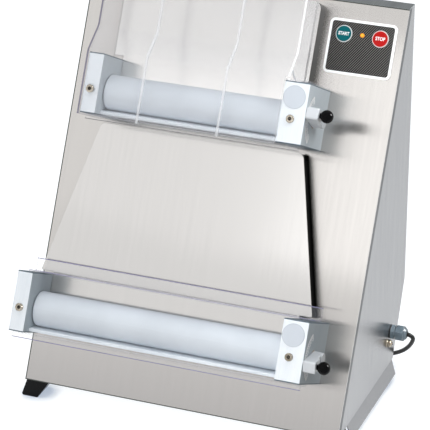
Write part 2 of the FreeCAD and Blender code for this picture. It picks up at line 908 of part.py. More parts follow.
def tensioner_bracket():
    """Folded tab on the front panel's back with the pin of the tensioner wheel."""
    start = upper["pulley_u"] + 7
    low = tensioner_v - 13
    back = -tensioner_back - 9
    upright = block((start, low, back), (start + 3, tensioner_v + 3.4, -sheet - 0.1))
    tab = block((start, low - 14, -sheet - 3), (start + 10, tensioner_v - 2, -sheet))
    centre = (tensioner_v, -tensioner_back)
    pin = rod(tensioner_pin_radius, (start - 12, *centre), (start + 1, *centre))
    return on_face(upright.fuse([tab, pin]).removeSplitter())


def drive_shaft():
    wall = -half_width + sheet
    centre = (drive_y, drive_z)
    return in_body(rod(journal_radius, (wall + 1.5, *centre), (gearbox_left + 18, *centre)))


def drive_pulleys():
    pulleys = []
    for unit in (upper, lower):
        shape = pulley(unit["pulley_u"], (drive_y, drive_z), drive_groove_radius, journal_radius + seat_gap)
        pulleys.append(in_body(shape))
    return Part.Compound(pulleys)


def gearbox():
    half = gearbox_size / 2
    end = gearbox_left + gearbox_length
    section = [(drive_y - half, drive_z - half, 14), (drive_y + half, drive_z - half, 14),
               (drive_y + half, drive_z + half, 14), (drive_y - half, drive_z + half, 14)]
    case = prism_u(section, gearbox_left, end)
    foot_plate = [(drive_y - half - 12, sheet), (drive_y + half + 12, sheet),
                  (drive_y + half + 12, sheet + 6),
                  (drive_y + half - 16, sheet + 8, 3), (drive_y + half - 16, drive_z - half + 2),
                  (drive_y - half + 16, drive_z - half + 2), (drive_y - half + 16, sheet + 8, 3),
                  (drive_y - half - 12, sheet + 6)]
    case = case.fuse(prism_u(foot_plate, gearbox_left + 6, end - 6))
    centre = (drive_y, drive_z)
    nose = rod(22.0, (gearbox_left - 6, *centre), (gearbox_left + 1, *centre))
    case = case.fuse(nose)
    bore = rod(journal_radius + running_gap, (gearbox_left - 7, *centre), (gearbox_left + 20, *centre))
    return in_body(case.cut(bore).removeSplitter())


def motor():
    """Foot-mounted gearbox's motor: finned barrel, end cowl and terminal box."""
    start = gearbox_left + gearbox_length
    end = start + motor_length
    centre = (drive_y, drive_z)
    cowl_start = end - cowl_length
    barrel = rod(motor_radius - rib_depth, (start, *centre), (cowl_start, *centre))
    cowl = rod(motor_radius, (cowl_start, *centre), (end, *centre))
    half = terminal_width / 2
    box_top = drive_z + motor_radius + terminal_rise
    box_start = start + terminal_start
    box_end = box_start + terminal_length
    terminal = block((box_start, drive_y - half, drive_z), (box_end, drive_y + half, box_top))
    pieces = [cowl, terminal]
    for index in range(motor_ribs):
        at = start + motor_rib_start + index * motor_rib_pitch
        pieces.append(rod(motor_radius, (at, *centre), (at + motor_rib_width, *centre)))
    return in_body(barrel.fuse(pieces).removeSplitter())


# Levers
def lever_section():
    """Side outline along the arm, from the rounded hub to the square end."""
    hub = lever_hub_radius
    return [
        (-hub + 1, hub - 1, 6),
        (lever_reach, lever_half_height, 3),
        (lever_reach, -lever_half_height, 3),
        (-hub + 1, -hub, 8),
    ]


def outer_edges(shape, reach):
    """Edges of a lever's outer side, this far out along the pivot."""
    return [e for e in shape.Edges if min(v.X for v in e.Vertexes) > reach - 0.01]


def lever(unit):
    """Moulded lever with a thick end, a grooved hub, a core hole and grub screw holes."""
    start = lever_side_gap
    outline_points = lever_section()
    wire = rounded_wire(outline_points, lambda a, b: V(start, b, a))
    body = Part.Face(wire).extrude(V(lever_thickness, 0, 0))
    body = body.makeFillet(1.8, outer_edges(body, start + lever_thickness))
    end_start = lever_reach - lever_end_length
    end_out = start + lever_end_thickness
    thick_end = Part.Face(wire).extrude(V(lever_end_thickness, 0, 0))
    side = lever_half_height + 1
    thick_end = thick_end.common(block((0, -side, end_start), (end_out + 1, side, lever_reach + 1)))
    thick_end = thick_end.makeFillet(1.8, outer_edges(thick_end, end_out))
    hub_end = start + lever_hub_length
    disc_start = hub_end - lever_disc
    pocket = rod(lever_hub_radius + 0.8, (disc_start - lever_groove, 0, 0), (hub_end + 1, 0, 0))
    disc = rod(lever_hub_radius - 0.5, (disc_start, 0, 0), (hub_end, 0, 0))
    disc = disc.makeFillet(1.0, rims(disc, 0, hub_end))
    neck_radius = lever_hub_radius - lever_groove
    neck = rod(neck_radius, (disc_start - lever_groove - 1, 0, 0), (disc_start + 1, 0, 0))
    body = body.fuse(thick_end).cut(pocket).fuse([neck, disc])
    body = body.cut(rod(lever_bore_radius + seat_gap, (-1, 0, 0), (hub_end - 2.5, 0, 0)))
    body = body.cut(rod(2.0, (start + 10.5, -20, 0), (start + 10.5, 20, 0)))
    plunger_bore = plunger_radius + running_gap
    body = body.cut(rod(plunger_bore, (-1, 0, knob_distance), (end_out + 1, 0, knob_distance)))
    body = body.cut(rod(5.0, (start + 2, 0, knob_distance), (start + 9, 0, knob_distance)))
    body.rotate(V(0, 0, 0), V(1, 0, 0), -unit["angle"])
    body.translate(V(unit["right"], unit["pivot_v"], pivot_n))
    return on_face(body)


def lever_knob(unit):
    """Ball knob on the index plunger that runs through the lever's end."""
    start = lever_side_gap + lever_end_thickness
    out = V(1, 0, 0)
    centre = (0, knob_distance)
    shape = Part.makeSphere(knob_radius, V(knob_centre_out, *centre))
    neck = Part.makeCone(4.2, 5.4, knob_centre_out - start - 7.2, V(start + 0.3, *centre), out)
    pin = rod(plunger_radius, (plunger_tip_gap + 1.6, *centre), (knob_centre_out - 4, *centre))
    tip = Part.makeCone(index_hole_radius - 0.3, plunger_radius, 1.6, V(plunger_tip_gap, *centre), out)
    collar = rod(4.4, (lever_side_gap + 2.3, *centre), (lever_side_gap + 2.9, *centre))
    shape = shape.fuse([neck, pin, tip, collar])
    shape.rotate(V(0, 0, 0), V(1, 0, 0), -unit["angle"])
    shape.translate(V(unit["right"], unit["pivot_v"], pivot_n))
    return on_face(shape)


# Clear guards
def guard_profile():
    """Outer line of the upper guard, from below the roller up to the loading mouth."""
    return [
        (upper["bottom"] - thin_clear, guard_front_n, 0),
        (guard_knee_low, guard_front_n, guard_bend_low),
        (guard_knee_high, guard_upper_n, guard_bend_high),
        (guard_top, guard_upper_n, 0),
    ]


def cheek_outline(low_points):
    """Side wall of the upper guard, closed along the guard's outer line."""
    line = guard_profile()
    return low_points + [line[2], line[3]]


def upper_guard():
    """Bent clear cover: front sheet, two cheeks and a foot on the right bracket."""
    line = guard_profile()
    left = upper["left"] - clear_sheet
    front = prism_u(bent_strip(list(reversed(line)), clear_sheet), left, guard_right)
    step_u = upper["right_in"] - slide_side_gap
    front = front.cut(block((step_u, line[0][0] - 1, -1), (half_width, slide_shoulder, guard_front_n + 9)))
    left_points = [
        (guard_top, edge_gap, 4),
        (line[0][0], edge_gap, 8),
        (line[0][0], guard_front_n, 6),
        (guard_knee_low, guard_front_n, guard_bend_low),
    ]
    left_cheek = prism_u(cheek_outline(left_points), left, upper["left"])
    foot_top = upper["top"] + thin_clear
    right_points = [
        (guard_top, plate_height, 0),
        (foot_top - guard_lap, plate_height, 0),
        (foot_top - guard_lap, guard_foot_n, cheek_foot_round),
        (guard_knee_low + cheek_rise, guard_front_n - cheek_back, 6),
    ]
    right_cheek = prism_u(cheek_outline(right_points), guard_right - clear_sheet, guard_right)
    shelf_start = (upper["right_in"] + 0.3, upper["top"], 2)
    shelf = block(shelf_start, (upper["right"] - 0.3, foot_top, bracket_depth - 0.5))
    guard = front.fuse([left_cheek, right_cheek, shelf])
    u, v = screw_place(upper, -1)
    guard = guard.cut(rod(3.3, (u, v, bracket_depth), (u, v, guard_front_n + 1)))
    return on_face(guard.removeSplitter())


def upper_guard_ribs():
    """Two stiffening ribs bonded outside the guard, each with a small hook at its foot."""
    line = guard_profile()
    foot_v, foot_n = line[0][0], line[0][1]
    ribs = []
    outer = [line[0], line[1], line[2], (guard_top - 5, guard_upper_n, 0)]
    for inset_by in (left_rib_inset, right_rib_inset):
        left = upper["left"] + inset_by - rib_width / 2
        right = left + rib_width
        rib = prism_u(bent_strip(outer, rib_thickness), left, right)
        hook_top = (right, foot_v, foot_n + rib_thickness)
        hook = block((left, foot_v - rib_hook, foot_n - clear_sheet), hook_top)
        ribs.append(rib.fuse(hook).removeSplitter())
    return on_face(Part.Compound(ribs))


def lower_top_guard():
    """Clear angle strip on the lower brackets: shelf and upstanding lip."""
    low = lower["top"]
    high = low + lip_height + thin_clear
    back = lower_lip_n - thin_clear
    path = [(low, lower_shelf_front, 0), (low, back, 4.5), (high, back, 0)]
    return on_face(prism_u(bent_strip(path, thin_clear), lower["left"] + 4, lower["right"]))


def bottom_guard(unit, left_inset, right_inset):
    """Clear angle strip under the brackets with a downturned front lip."""
    high = unit["bottom"]
    drop = high - thin_clear - bottom_lip_drop
    path = [(high, bottom_strip_back, 0), (high, bottom_strip_n, 3.5), (drop, bottom_strip_n, 0)]
    strip = bent_strip(list(reversed(path)), -thin_clear)
    return on_face(prism_u(strip, unit["left"] + left_inset, unit["right"] - right_inset))


def front_scrapers():
    """Blade bars between the brackets, just under each front roller."""
    bars = []
    for unit in (upper, lower):
        tip = unit["pivot_v"] - eccentricity - roller_radius - 0.35
        base = unit["bottom"] + 2.5
        section = [
            (base, pivot_n - 9),
            (base + 5, pivot_n - 9, 1.5),
            (tip, pivot_n - 1.2),
            (tip, pivot_n + 1.2),
            (base + 5, pivot_n + 24, 1.5),
            (base, pivot_n + 24),
        ]
        bars.append(prism_u(section, unit["left_in"], unit["right_in"]))
    return on_face(Part.Compound(bars))


def rear_scrapers():
    """Blade strips on the front panel's back, under each rear roller."""
    bars = []
    for unit in (upper, lower):
        rear = unit["rear_v"]
        reach = roller_radius + 0.4
        tip_n = rear_axis_n - 14.5
        tip_v = rear - math.sqrt(reach * reach - 14.5 * 14.5)
        section = [
            (rear - window_half - 18, -sheet),
            (rear - window_half - 0.5, -sheet),
            (rear - window_half - 0.5, -sheet - 5, 1),
            (tip_v, tip_n),
            (tip_v - 3, tip_n - 3),
            (rear - window_half - 3, -sheet - 9, 3),
            (rear - window_half - 18, -sheet - 6),
        ]
        bars.append(prism_u(section, unit["left_in"] + 6, unit["right_in"] - 6))
    return on_face(Part.Compound(bars))


# Controls
def control_pad():
    plan = [(pad_left, pad_low, pad_corner), (pad_right, pad_low, pad_corner),
            (pad_right, pad_high, pad_corner), (pad_left, pad_high, pad_corner)]
    pad = prism_n(plan, 0, pad_thickness)
    for place in (start_place, stop_place):
        pad = pad.cut(rod(button_radius + button_clearance, (*place, -1), (*place, pad_thickness + 1)))
    return on_face(pad.cut(rod(lamp_radius + 0.1, (*lamp_place, -1), (*lamp_place, pad_thickness + 1))))


def button(place):
    head = rod(button_radius, (*place, button_lift), (*place, button_height))
    head = head.makeFillet(0.8, rims(head, 2, button_height))
    stem = rod(stem_radius, (*place, -stem_depth), (*place, button_lift + 0.5))
    return on_face(head.fuse(stem))


def lamp():
    body = rod(lamp_radius, (*lamp_place, -stem_depth), (*lamp_place, pad_thickness + 0.4))
    dome = Part.makeSphere(lamp_radius, V(*lamp_place, pad_thickness + 0.4))
    return on_face(body.fuse(dome).removeSplitter())


def control_box():
    """Switch housing on the panel's back, with wells for the buttons' stems."""
    margin = box_margin
    low = (pad_left + margin, pad_low + margin, -sheet - box_depth)
    box = block(low, (pad_right - margin, pad_high - margin, -sheet))
    for place in (start_place, stop_place):
        box = box.cut(rod(stem_radius + 1, (*place, -sheet - stem_depth - 2), (*place, 0)))
    return on_face(box.cut(rod(lamp_radius + 0.1, (*lamp_place, -stem_depth - 0.5), (*lamp_place, 0))))


# Mains entry
def cable_gland():
    """Gland body through the side wall: washer, hexagon, neck and inner lock nut."""
    x = half_width
    place = (gland_y, gland_z)
    washer = rod(11.4, (x, *place), (x + 1.5, *place))
    body = hexagon(gland_flat, x + 1.5, x + 7.5, *place)
    neck = rod(8.8, (x + 7, *place), (x + 13, *place))
    thread = rod(gland_thread_radius, (x - 9, *place), (x + 1, *place))
    nut = hexagon(gland_lock_flat, x - sheet - 5, x - sheet, *place)
    shape = washer.fuse([body, neck, thread, nut])
    bore = rod(cord_diameter / 2 + 0.2, (x - 10, *place), (x + 14, *place))
    return in_body(shape.cut(bore).removeSplitter())


def gland_nut():
    """Domed nut with six flats and a tapered nose round the cord."""
    x = half_width + 10.5
    end = half_width + gland_length
    place = (gland_y, gland_z)
    nut = hexagon(gland_flat + 1.5, x, end - 6, *place)
    dome = Part.makeSphere(14.5, V(end - 14.5, *place))
    nose = Part.makeCone(11.6, 6.6, 7, V(end - 7, *place), V(1, 0, 0))
    shape = nut.fuse(nose).common(dome.fuse(rod(14.5, (x - 1, *place), (end - 14, *place))))
    socket = rod(8.85, (x - 1, *place), (half_width + 13.2, *place))
    bore = rod(cord_diameter / 2 + 0.2, (x - 1, *place), (end - gland_mouth - 2, *place))
    flare_start = V(end - gland_mouth, *place)
    mouth = Part.makeCone(cord_diameter / 2 + 0.2, 5.4, gland_mouth, flare_start, V(1, 0, 0))
    return in_body(shape.cut(socket.fuse([bore, mouth])))


def earth_terminal():
    x = half_width
    place = (earth_y, earth_z)
    stud = rod(stud_radius, (x - 4, *place), (x + earth_reach, *place))
    washer = rod(7.0, (x, *place), (x + 1.5, *place))
    nut = hexagon(10.0, x + 1.5, x + 6.5, *place)
    cup = rod(5.0, (x + 6.5, *place), (x + 7.3, *place))
    return in_body(stud.fuse([washer, nut, cup]).removeSplitter())


# Cord
def arc_from(start, way, end):
    """Arc that leaves start along way and reaches end."""
    chord = end - start
    side = chord - way * chord.dot(way)
    side.normalize()
    radius = chord.dot(chord) / (2 * chord.dot(side))
    centre = start + side * radius
    middle = centre + ((start - centre) + (end - centre)).normalize() * radius
    return Part.Arc(start, middle, end).toShape(), radius


def arc_end_way(start, way, end):
    """Direction in which such an arc arrives."""
    chord = (end - start)
    chord.normalize()
    return chord * (2 * chord.dot(way)) - way


def cord_path(points):
    """Straight runs joined by tangent arcs, each as large as its two runs allow."""
    edges = []
    radii = []
    last = points[0]
    for index in range(1, len(points) - 1):
        here = points[index]
        into = here - points[index - 1]
        out = points[index + 1] - here
        shorter = min(into.Length, out.Length)
        turn = into.getAngle(out)
        back = 0.45 * shorter
        radii.append(back / math.tan(turn / 2))
        start = here - into.normalize() * back
        end = here + out.normalize() * back
        edges.append(Part.LineSegment(last, start).toShape())
        edges.append(arc_from(start, into, end)[0])
        last = end
    edges.append(Part.LineSegment(last, points[-1]).toShape())
    return Part.Wire(edges), radii


def tube(path, start, way, diameter):
    ring = Part.Wire(Part.Circle(start, way, diameter / 2).toShape())
    return path.makePipeShell([ring], True, False)


cord_points = [V(*point) for point in cord_route]
coil_start = cord_points[-1]
coil_middle = V(coil_x, coil_start.y - coil_outer_radius, coil_start.z)


def coil_path():
    """Flat spiral inwards, a climb of one layer in the reversing half turn, and out again."""
    edges = []
    quarter = coil_pitch / 4
    place = V(coil_middle.x, coil_start.y, coil_start.z)
    way = V(-1, 0, 0)
    edges.append(Part.LineSegment(coil_start, place).toShape())
    radius = coil_outer_radius
    up = 0.0
    for index in range(2 * coil_half_turns + 1):
        reversing = index == coil_half_turns
        rise = coil_layer_rise if reversing else 0.0
        side = V(way.y, -way.x, 0) * -1
        end = place + side * (2 * radius) + V(0, 0, rise)
        reach = math.sqrt(radius * radius + rise * rise / 4)
        middle = (place + way * reach + end + way * reach) * 0.5
        edges.append(arc_from(place, way, middle)[0])
        edges.append(arc_from(middle, arc_end_way(place, way, middle), end)[0])
        place = end
        way = way * -1
        up += rise
        radius += -2 * quarter if index < coil_half_turns else 2 * quarter
    tail = place + way * 22.0
    edges.append(Part.LineSegment(place, tail).toShape())
    return Part.Wire(edges), tail, way


def least_self_gap(path, diameter, skip):
    """Smallest clear distance between stretches of the path that aren't neighbours."""
    samples = path.discretize(Number=int(path.Length / 3))
    step = path.Length / (len(samples) - 1)
    apart = int(skip / step)
    least = path.Length
    for first in range(len(samples)):
        for second in range(first + apart, len(samples)):
            distance = (samples[first] - samples[second]).Length - diameter
            least = min(least, distance)
    return least


def mains_plug(end, way):
    """Flat moulded three-pin plug lying on the floor, with its tapered strain relief."""
    thick = 2 * (end.z + foot_height)
    side = V(way.y, -way.x, 0)
    relief_length = 24.0
    relief = Part.makeCone(cord_diameter / 2 + 1.2, 7.5, relief_length, end, way)
    front = end + way * relief_length
    half = plug_width / 2
    deep = thick / 2
    corners = [
        front + side * -9, front + side * 9,
        front + side * half + way * 14, front + side * half + way * plug_length,
        front + side * -half + way * plug_length, front + side * -half + way * 14,
    ]
    lift = V(0, 0, -deep)
    base = Part.Face(Part.makePolygon([corner + lift for corner in corners + [corners[0]]]))
    body = base.extrude(V(0, 0, thick))
    upright = [e for e in body.Edges if abs(e.Vertexes[0].Z - e.Vertexes[-1].Z) > 1]
    body = body.makeFillet(3.0, upright).fuse(relief)
    for number in (-1, 0, 1):
        base_point = front + way * (plug_length - 1) + side * (number * pin_pitch)
        pin = Part.makeCylinder(pin_radius, pin_length + 1, base_point, way)
        body = body.fuse(pin)
    return in_body(body.removeSplitter())


def build():
    os.makedirs("parts", exist_ok=True)
    save("front_panel", front_panel())
    save("left_side_panel", side_panel(-1))
    save("right_side_panel", side_panel(1))
    save("top_cover", top_cover())
    save("rear_cover", rear_cover())
    save("base_pan", base_pan())
    save("casing_screws", casing_screws())
    save("feet", feet())
    save("upper_slide", upper_slide())
    save("lower_chute", lower_chute())
    save("chute_spacers", chute_spacers())
    tensioner = [(tensioner_y, tensioner_z, tensioner_radius + belt_gap + belt_thickness / 2, -1)]
    for name, unit, between in (("upper", upper, tensioner), ("lower", lower, [])):
        save(name + "_left_bracket", bracket(unit, -1))
        save(name + "_right_bracket", bracket(unit, 1))
        save(name + "_eccentric_axle", eccentric_axle(unit))
        save(name + "_front_roller", front_roller(unit))
        save(name + "_roller_bushes", roller_bushes(unit))
        save(name + "_rear_roller", rear_roller(unit))
        save(name + "_rear_shaft", rear_shaft(unit))
        centre = (unit["rear_v"], rear_axis_n)
        driven = pulley(unit["pulley_u"], centre, driven_groove_radius, journal_radius + seat_gap)
        save(name + "_driven_pulley", on_face(driven))
        save(name + "_drive_belt", drive_belt(unit, between))
        save(name + "_lever", lever(unit))
        save(name + "_lever_knob", lever_knob(unit))
    save("upper_guard", upper_guard())
    save("upper_guard_ribs", upper_guard_ribs())
    save("upper_bottom_guard", bottom_guard(upper, upper_strip_left_inset, upper_strip_right_inset))
    save("lower_top_guard", lower_top_guard())
    save("lower_bottom_guard", bottom_guard(lower, lower_strip_left_inset, lower_strip_right_inset))
    save("front_scrapers", front_scrapers())
    save("rear_scrapers", rear_scrapers())
    save("shaft_bushes", shaft_bushes())
    save("bracket_screws", bracket_screws())
    save("cap_discs", cap_discs())
    save("motor", motor())
    save("gearbox", gearbox())
    save("drive_shaft", drive_shaft())
    save("drive_pulleys", drive_pulleys())
    save("tensioner_wheel", tensioner_wheel())
    save("tensioner_bracket", tensioner_bracket())
    save("control_pad", control_pad())
    save("start_button", button(start_place))
    save("stop_button", button(stop_place))
    save("lamp", lamp())
    save("control_box", control_box())
    save("cable_gland", cable_gland())
    save("gland_nut", gland_nut())
    save("earth_terminal", earth_terminal())
    path, radii = cord_path(cord_points)
    cord = tube(path, cord_points[0], V(1, 0, 0), cord_diameter)
    print("cord arc radii", [round(radius, 1) for radius in radii])
    share = cord.Volume / (math.pi * cord_diameter ** 2 / 4 * path.Length)
    print("cord length", round(path.Length), "volume over section times length", round(share, 4))
    save("mains_cord", in_body(cord))
    turns, tail, way = coil_path()
    coil = tube(turns, coil_start, V(-1, 0, 0), cord_diameter)
    print("coil length", round(turns.Length))
    print("coil least gap", round(least_self_gap(turns, cord_diameter, coil_check_span), 2))
    save("mains_cord_coil", in_body(coil))
    save("mains_plug", mains_plug(tail, way))


build()
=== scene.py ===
import math

import bpy
from mathutils import Matrix, Vector


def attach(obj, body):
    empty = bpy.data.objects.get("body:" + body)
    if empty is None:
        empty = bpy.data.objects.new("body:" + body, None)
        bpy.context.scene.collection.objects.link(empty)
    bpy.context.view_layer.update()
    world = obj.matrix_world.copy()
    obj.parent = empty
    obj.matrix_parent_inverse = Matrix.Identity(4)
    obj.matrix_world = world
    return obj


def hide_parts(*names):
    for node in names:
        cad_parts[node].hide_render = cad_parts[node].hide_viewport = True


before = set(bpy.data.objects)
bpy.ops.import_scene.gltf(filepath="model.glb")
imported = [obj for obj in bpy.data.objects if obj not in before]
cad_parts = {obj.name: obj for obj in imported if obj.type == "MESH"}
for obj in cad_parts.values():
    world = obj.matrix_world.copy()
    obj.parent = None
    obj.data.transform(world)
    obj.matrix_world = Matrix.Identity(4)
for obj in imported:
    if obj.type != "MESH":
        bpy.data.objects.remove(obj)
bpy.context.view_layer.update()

mm = 0.001  # the pieces' sizes are written in millimetres, the places of camera and lamps in metres

# The leaning front face has its own axes: u to the right, v up the slope, n straight out of it
faceLean = math.radians(27.2)
casingFoot = Vector((0, -134.185, 32)) * mm
facePlace = Matrix.Translation(casingFoot) @ Matrix.Rotation(math.radians(90) - faceLean, 4, "X")
faceBack = facePlace.inverted()
casingPlace = Matrix.Translation(casingFoot)
sideTurn = Matrix.Rotation(math.radians(90), 4, "Y")  # what faced up then faces right


def unselect():
    if bpy.context.object and bpy.context.object.mode != "OBJECT":
        bpy.ops.object.mode_set(mode="OBJECT")
    bpy.ops.object.select_all(action="DESELECT")


def pick(*pieces):
    unselect()
    for piece in pieces:
        piece.select_set(True)
    bpy.context.view_layer.objects.active = pieces[0]


def settle(piece, place):
    piece.matrix_world = place @ piece.matrix_world  # the place goes into the mesh
    pick(piece)
    bpy.ops.object.transform_apply(location=True, rotation=True, scale=True)
    return piece


def turnAbout(degrees):
    return Matrix.Rotation(math.radians(degrees), 4, "Z")


def choose(piece, kind, wanted):
    bpy.ops.object.mode_set(mode="EDIT")
    bpy.ops.mesh.select_mode(type=kind)
    bpy.ops.mesh.select_all(action="DESELECT")
    bpy.ops.object.mode_set(mode="OBJECT")
    for part in {"FACE": piece.data.polygons, "EDGE": piece.data.edges}[kind]:
        part.select = wanted(part)
    bpy.ops.object.mode_set(mode="EDIT")


def chooseFaces(piece, wanted):
    choose(piece, "FACE", wanted)


def chooseEdges(piece, wanted):  # wanted is asked about an edge's two end points
    choose(piece, "EDGE", lambda edge: wanted(*(piece.data.vertices[end].co for end in edge.vertices)))


def smoothByAngle(piece, degrees):
    pick(piece)
    bpy.ops.object.shade_smooth_by_angle(angle=math.radians(degrees))


def join(pieces, name):
    pick(*pieces)
    bpy.ops.object.join()
    whole = bpy.context.view_layer.objects.active
    whole.name = name
    whole.data.name = name
    return whole


# Camera and lamps
print("camera and lamps")

cameraView = {"place": (1.2321, -3.1312, 1.8989), "turn": (64.64, 0.0, 21.33), "lens": 202.1, "sensor": 36,
              "farEnd": 50}
bpy.ops.object.camera_add(location=cameraView["place"])
camera = bpy.context.object
camera.name = "photoCamera"
camera.rotation_euler = [math.radians(angle) for angle in cameraView["turn"]]
camera.data.lens = cameraView["lens"]
camera.data.sensor_width = cameraView["sensor"]
camera.data.clip_end = cameraView["farEnd"]
bpy.context.scene.camera = camera
bpy.context.scene.view_settings.view_transform = "Standard"

# The first four light the object, the last three only show in its gloss
lampSettings = {
    "keyLamp": {"place": (-0.2, -2.3, 1.05), "aim": (0, 0, 0.4), "size": (1.3, 1.3), "power": 17,
                "colour": (1.0, 0.99, 0.97)},
    "topLamp": {"place": (-0.2, -0.5, 3.0), "aim": (0, 0, 0.2), "size": (2.4, 2.4), "power": 18,
                "colour": (0.98, 0.99, 1.0)},
    "frontLamp": {"place": (0.32, -0.8, 0.5), "aim": (0.18, -0.1, 0.33), "size": (0.25, 0.25), "power": 1.5},
    "nearLamp": {"place": (0.44, 0.0, 0.8), "aim": (0.15, 0, 0.45), "size": (0.25, 0.25), "power": 1.3,
                 "colour": (0.96, 0.99, 1.0)},
    "sheenLamp": {"place": (0.03, -0.81, 0.89), "aim": (0.36, 0.03, 0.42), "size": (0.3, 0.46), "power": 0.3,
                  "shine": True},
    "broadSheen": {"place": (-0.3, -0.68, 0.86), "aim": (0, 0.07, 0.43), "size": (0.7, 0.5), "power": 0.1,
                   "colour": (1.0, 0.98, 0.98), "shine": True},
    "windowLamp": {"place": (1.7, 0.8, 1.25), "aim": (0.15, 0, 0.35), "size": (0.5, 0.7), "power": 90,
                   "shine": True},
}


def addLamp(name, place, aim, size, power, colour=(1.0, 1.0, 1.0), shine=False):
    unselect()
    bpy.ops.object.light_add(type="AREA", location=place)
    lamp = bpy.context.object
    lamp.name = name
    lamp.rotation_euler = (Vector(aim) - Vector(place)).to_track_quat("-Z", "Y").to_euler()
    lamp.data.shape = "RECTANGLE"
    lamp.data.size, lamp.data.size_y = size
    lamp.data.energy = power
    lamp.data.color = colour
    lamp.visible_glossy = shine
    lamp.visible_diffuse = not shine
    lamp.visible_camera = False


for name, settings in lampSettings.items():
    addLamp(name, **settings)


# Small helpers for the materials
def feed(tree, inputs, feeds):
    for name, value in feeds.items():
        if isinstance(value, bpy.types.NodeSocket):
            tree.links.new(value, inputs[name])
        else:
            inputs[name].default_value = value


def put(tree, kind, feeds=None, **settings):
    node = tree.nodes.new(kind)
    for name, value in settings.items():
        setattr(node, name, value)
    feed(tree, node.inputs, feeds or {})
    return node


def calc(tree, operation, *values, clamp=False):
    feeds = dict(enumerate(values))
    return put(tree, "ShaderNodeMath", feeds, operation=operation, use_clamp=clamp).outputs[0]


def vectorCalc(tree, operation, *values):
    node = put(tree, "ShaderNodeVectorMath", dict(enumerate(values)), operation=operation)
    return node.outputs["Value" if operation in ("DOT_PRODUCT", "LENGTH") else "Vector"]


def spread(tree, value, low, high, toLow=0.0, toHigh=1.0):
    feeds = {"Value": value, "From Min": low, "From Max": high, "To Min": toLow, "To Max": toHigh}
    return put(tree, "ShaderNodeMapRange", feeds, clamp=True).outputs[0]


def above(tree, value, limit, soft=0.15):
    return spread(tree, value, (limit - soft) * mm, (limit + soft) * mm)


def below(tree, value, limit, soft=0.15):
    return spread(tree, value, (limit - soft) * mm, (limit + soft) * mm, 1.0, 0.0)


def within(tree, value, low, high, soft=0.15):
    return calc(tree, "MULTIPLY", above(tree, value, low, soft), below(tree, value, high, soft))


def mixTint(tree, share, first, second):
    feeds = {0: share, 6: first, 7: second}  # a colour mix keeps its two colours on sockets 6 and 7
    return put(tree, "ShaderNodeMix", feeds, data_type="RGBA").outputs[2]


def linear(part):
    return part / 12.92 if part <= 0.04045 else ((part + 0.055) / 1.055) ** 2.4


def tint(red, green, blue):
    return tuple(linear(part / 255) for part in (red, green, blue)) + (1.0,)


def noise(tree, vector, scale, detail, roughness=0.5):
    feeds = {"Vector": vector, "Scale": scale, "Detail": detail, "Roughness": roughness}
    return put(tree, "ShaderNodeTexNoise", feeds).outputs[0]


def axes(tree, vector):
    return put(tree, "ShaderNodeSeparateXYZ", {0: vector}).outputs


def surfaceNormal(tree):
    return put(tree, "ShaderNodeNewGeometry").outputs["Normal"]


def bump(tree, height, strength, normal=None):
    feeds = {"Height": height, "Strength": strength, "Distance": 1 * mm}
    if normal is not None:
        feeds["Normal"] = normal
    return put(tree, "ShaderNodeBump", feeds).outputs[0]


# Shared effects
def newGroup(name, inputs, outputs):
    group = bpy.data.node_groups.new(name, "ShaderNodeTree")
    for label, value in inputs.items():
        kind = "NodeSocketVector" if value is None else "NodeSocketFloat"
        socket = group.interface.new_socket(label, in_out="INPUT", socket_type=kind)
        if value is not None:
            socket.default_value = value
    for label in outputs:
        kind = "NodeSocketVector" if label == "Normal" else "NodeSocketFloat"
        group.interface.new_socket(label, in_out="OUTPUT", socket_type=kind)
    return group, group.nodes.new("NodeGroupInput").outputs, group.nodes.new("NodeGroupOutput").inputs


grainShape = {"fineShare": 0.6, "wideShare": 0.4, "wideScale": (0.06, 0.3, 0.06), "cut": (0.3, 0.7)}


def makeBrushedGrain():
    inputs = {"Vector": None, "Fineness": 700.0, "Length": 60.0, "Cloud": 5.0}
    group, given, out = newGroup("brushedGrain", inputs, ["Streak", "Cloud", "Height"])
    along = calc(group, "DIVIDE", given["Fineness"], given["Length"])
    scales = put(group, "ShaderNodeCombineXYZ", {0: given["Fineness"], 1: along, 2: given["Fineness"]})
    drawn = vectorCalc(group, "MULTIPLY", given["Vector"], scales.outputs[0])
    fine = noise(group, drawn, 1.0, 3.0, 0.65)
    wide = noise(group, vectorCalc(group, "MULTIPLY", drawn, grainShape["wideScale"]), 1.0, 2.0)
    cloud = noise(group, given["Vector"], given["Cloud"], 2.0)
    streak = calc(group, "ADD", calc(group, "MULTIPLY", fine, grainShape["fineShare"]),
                  calc(group, "MULTIPLY", wide, grainShape["wideShare"]))
    feed(group, out, {"Streak": spread(group, streak, *grainShape["cut"]),
                      "Cloud": spread(group, cloud, *grainShape["cut"]), "Height": fine})
    return group


# Edges found by the Bevel node: a mask for wear and for a painted highlight along edges, and the rounded
# normal
def makeWornEdge():
    group, given, out = newGroup("wornEdgeAndHighlight", {"Radius": 0.0008, "Strength": 3.0}, ["Edge", "Normal"])
    rounded = put(group, "ShaderNodeBevel", {"Radius": given["Radius"]}, samples=4).outputs[0]
    meet = vectorCalc(group, "DOT_PRODUCT", rounded, surfaceNormal(group))
    edge = calc(group, "MULTIPLY", calc(group, "SUBTRACT", 1.0, meet), given["Strength"], clamp=True)
    feed(group, out, {"Edge": edge, "Normal": rounded})
    return group


skinShape = {"speckScale": 0.25, "speckSize": (0.02, 0.12), "blotchCut": (0.32, 0.68)}


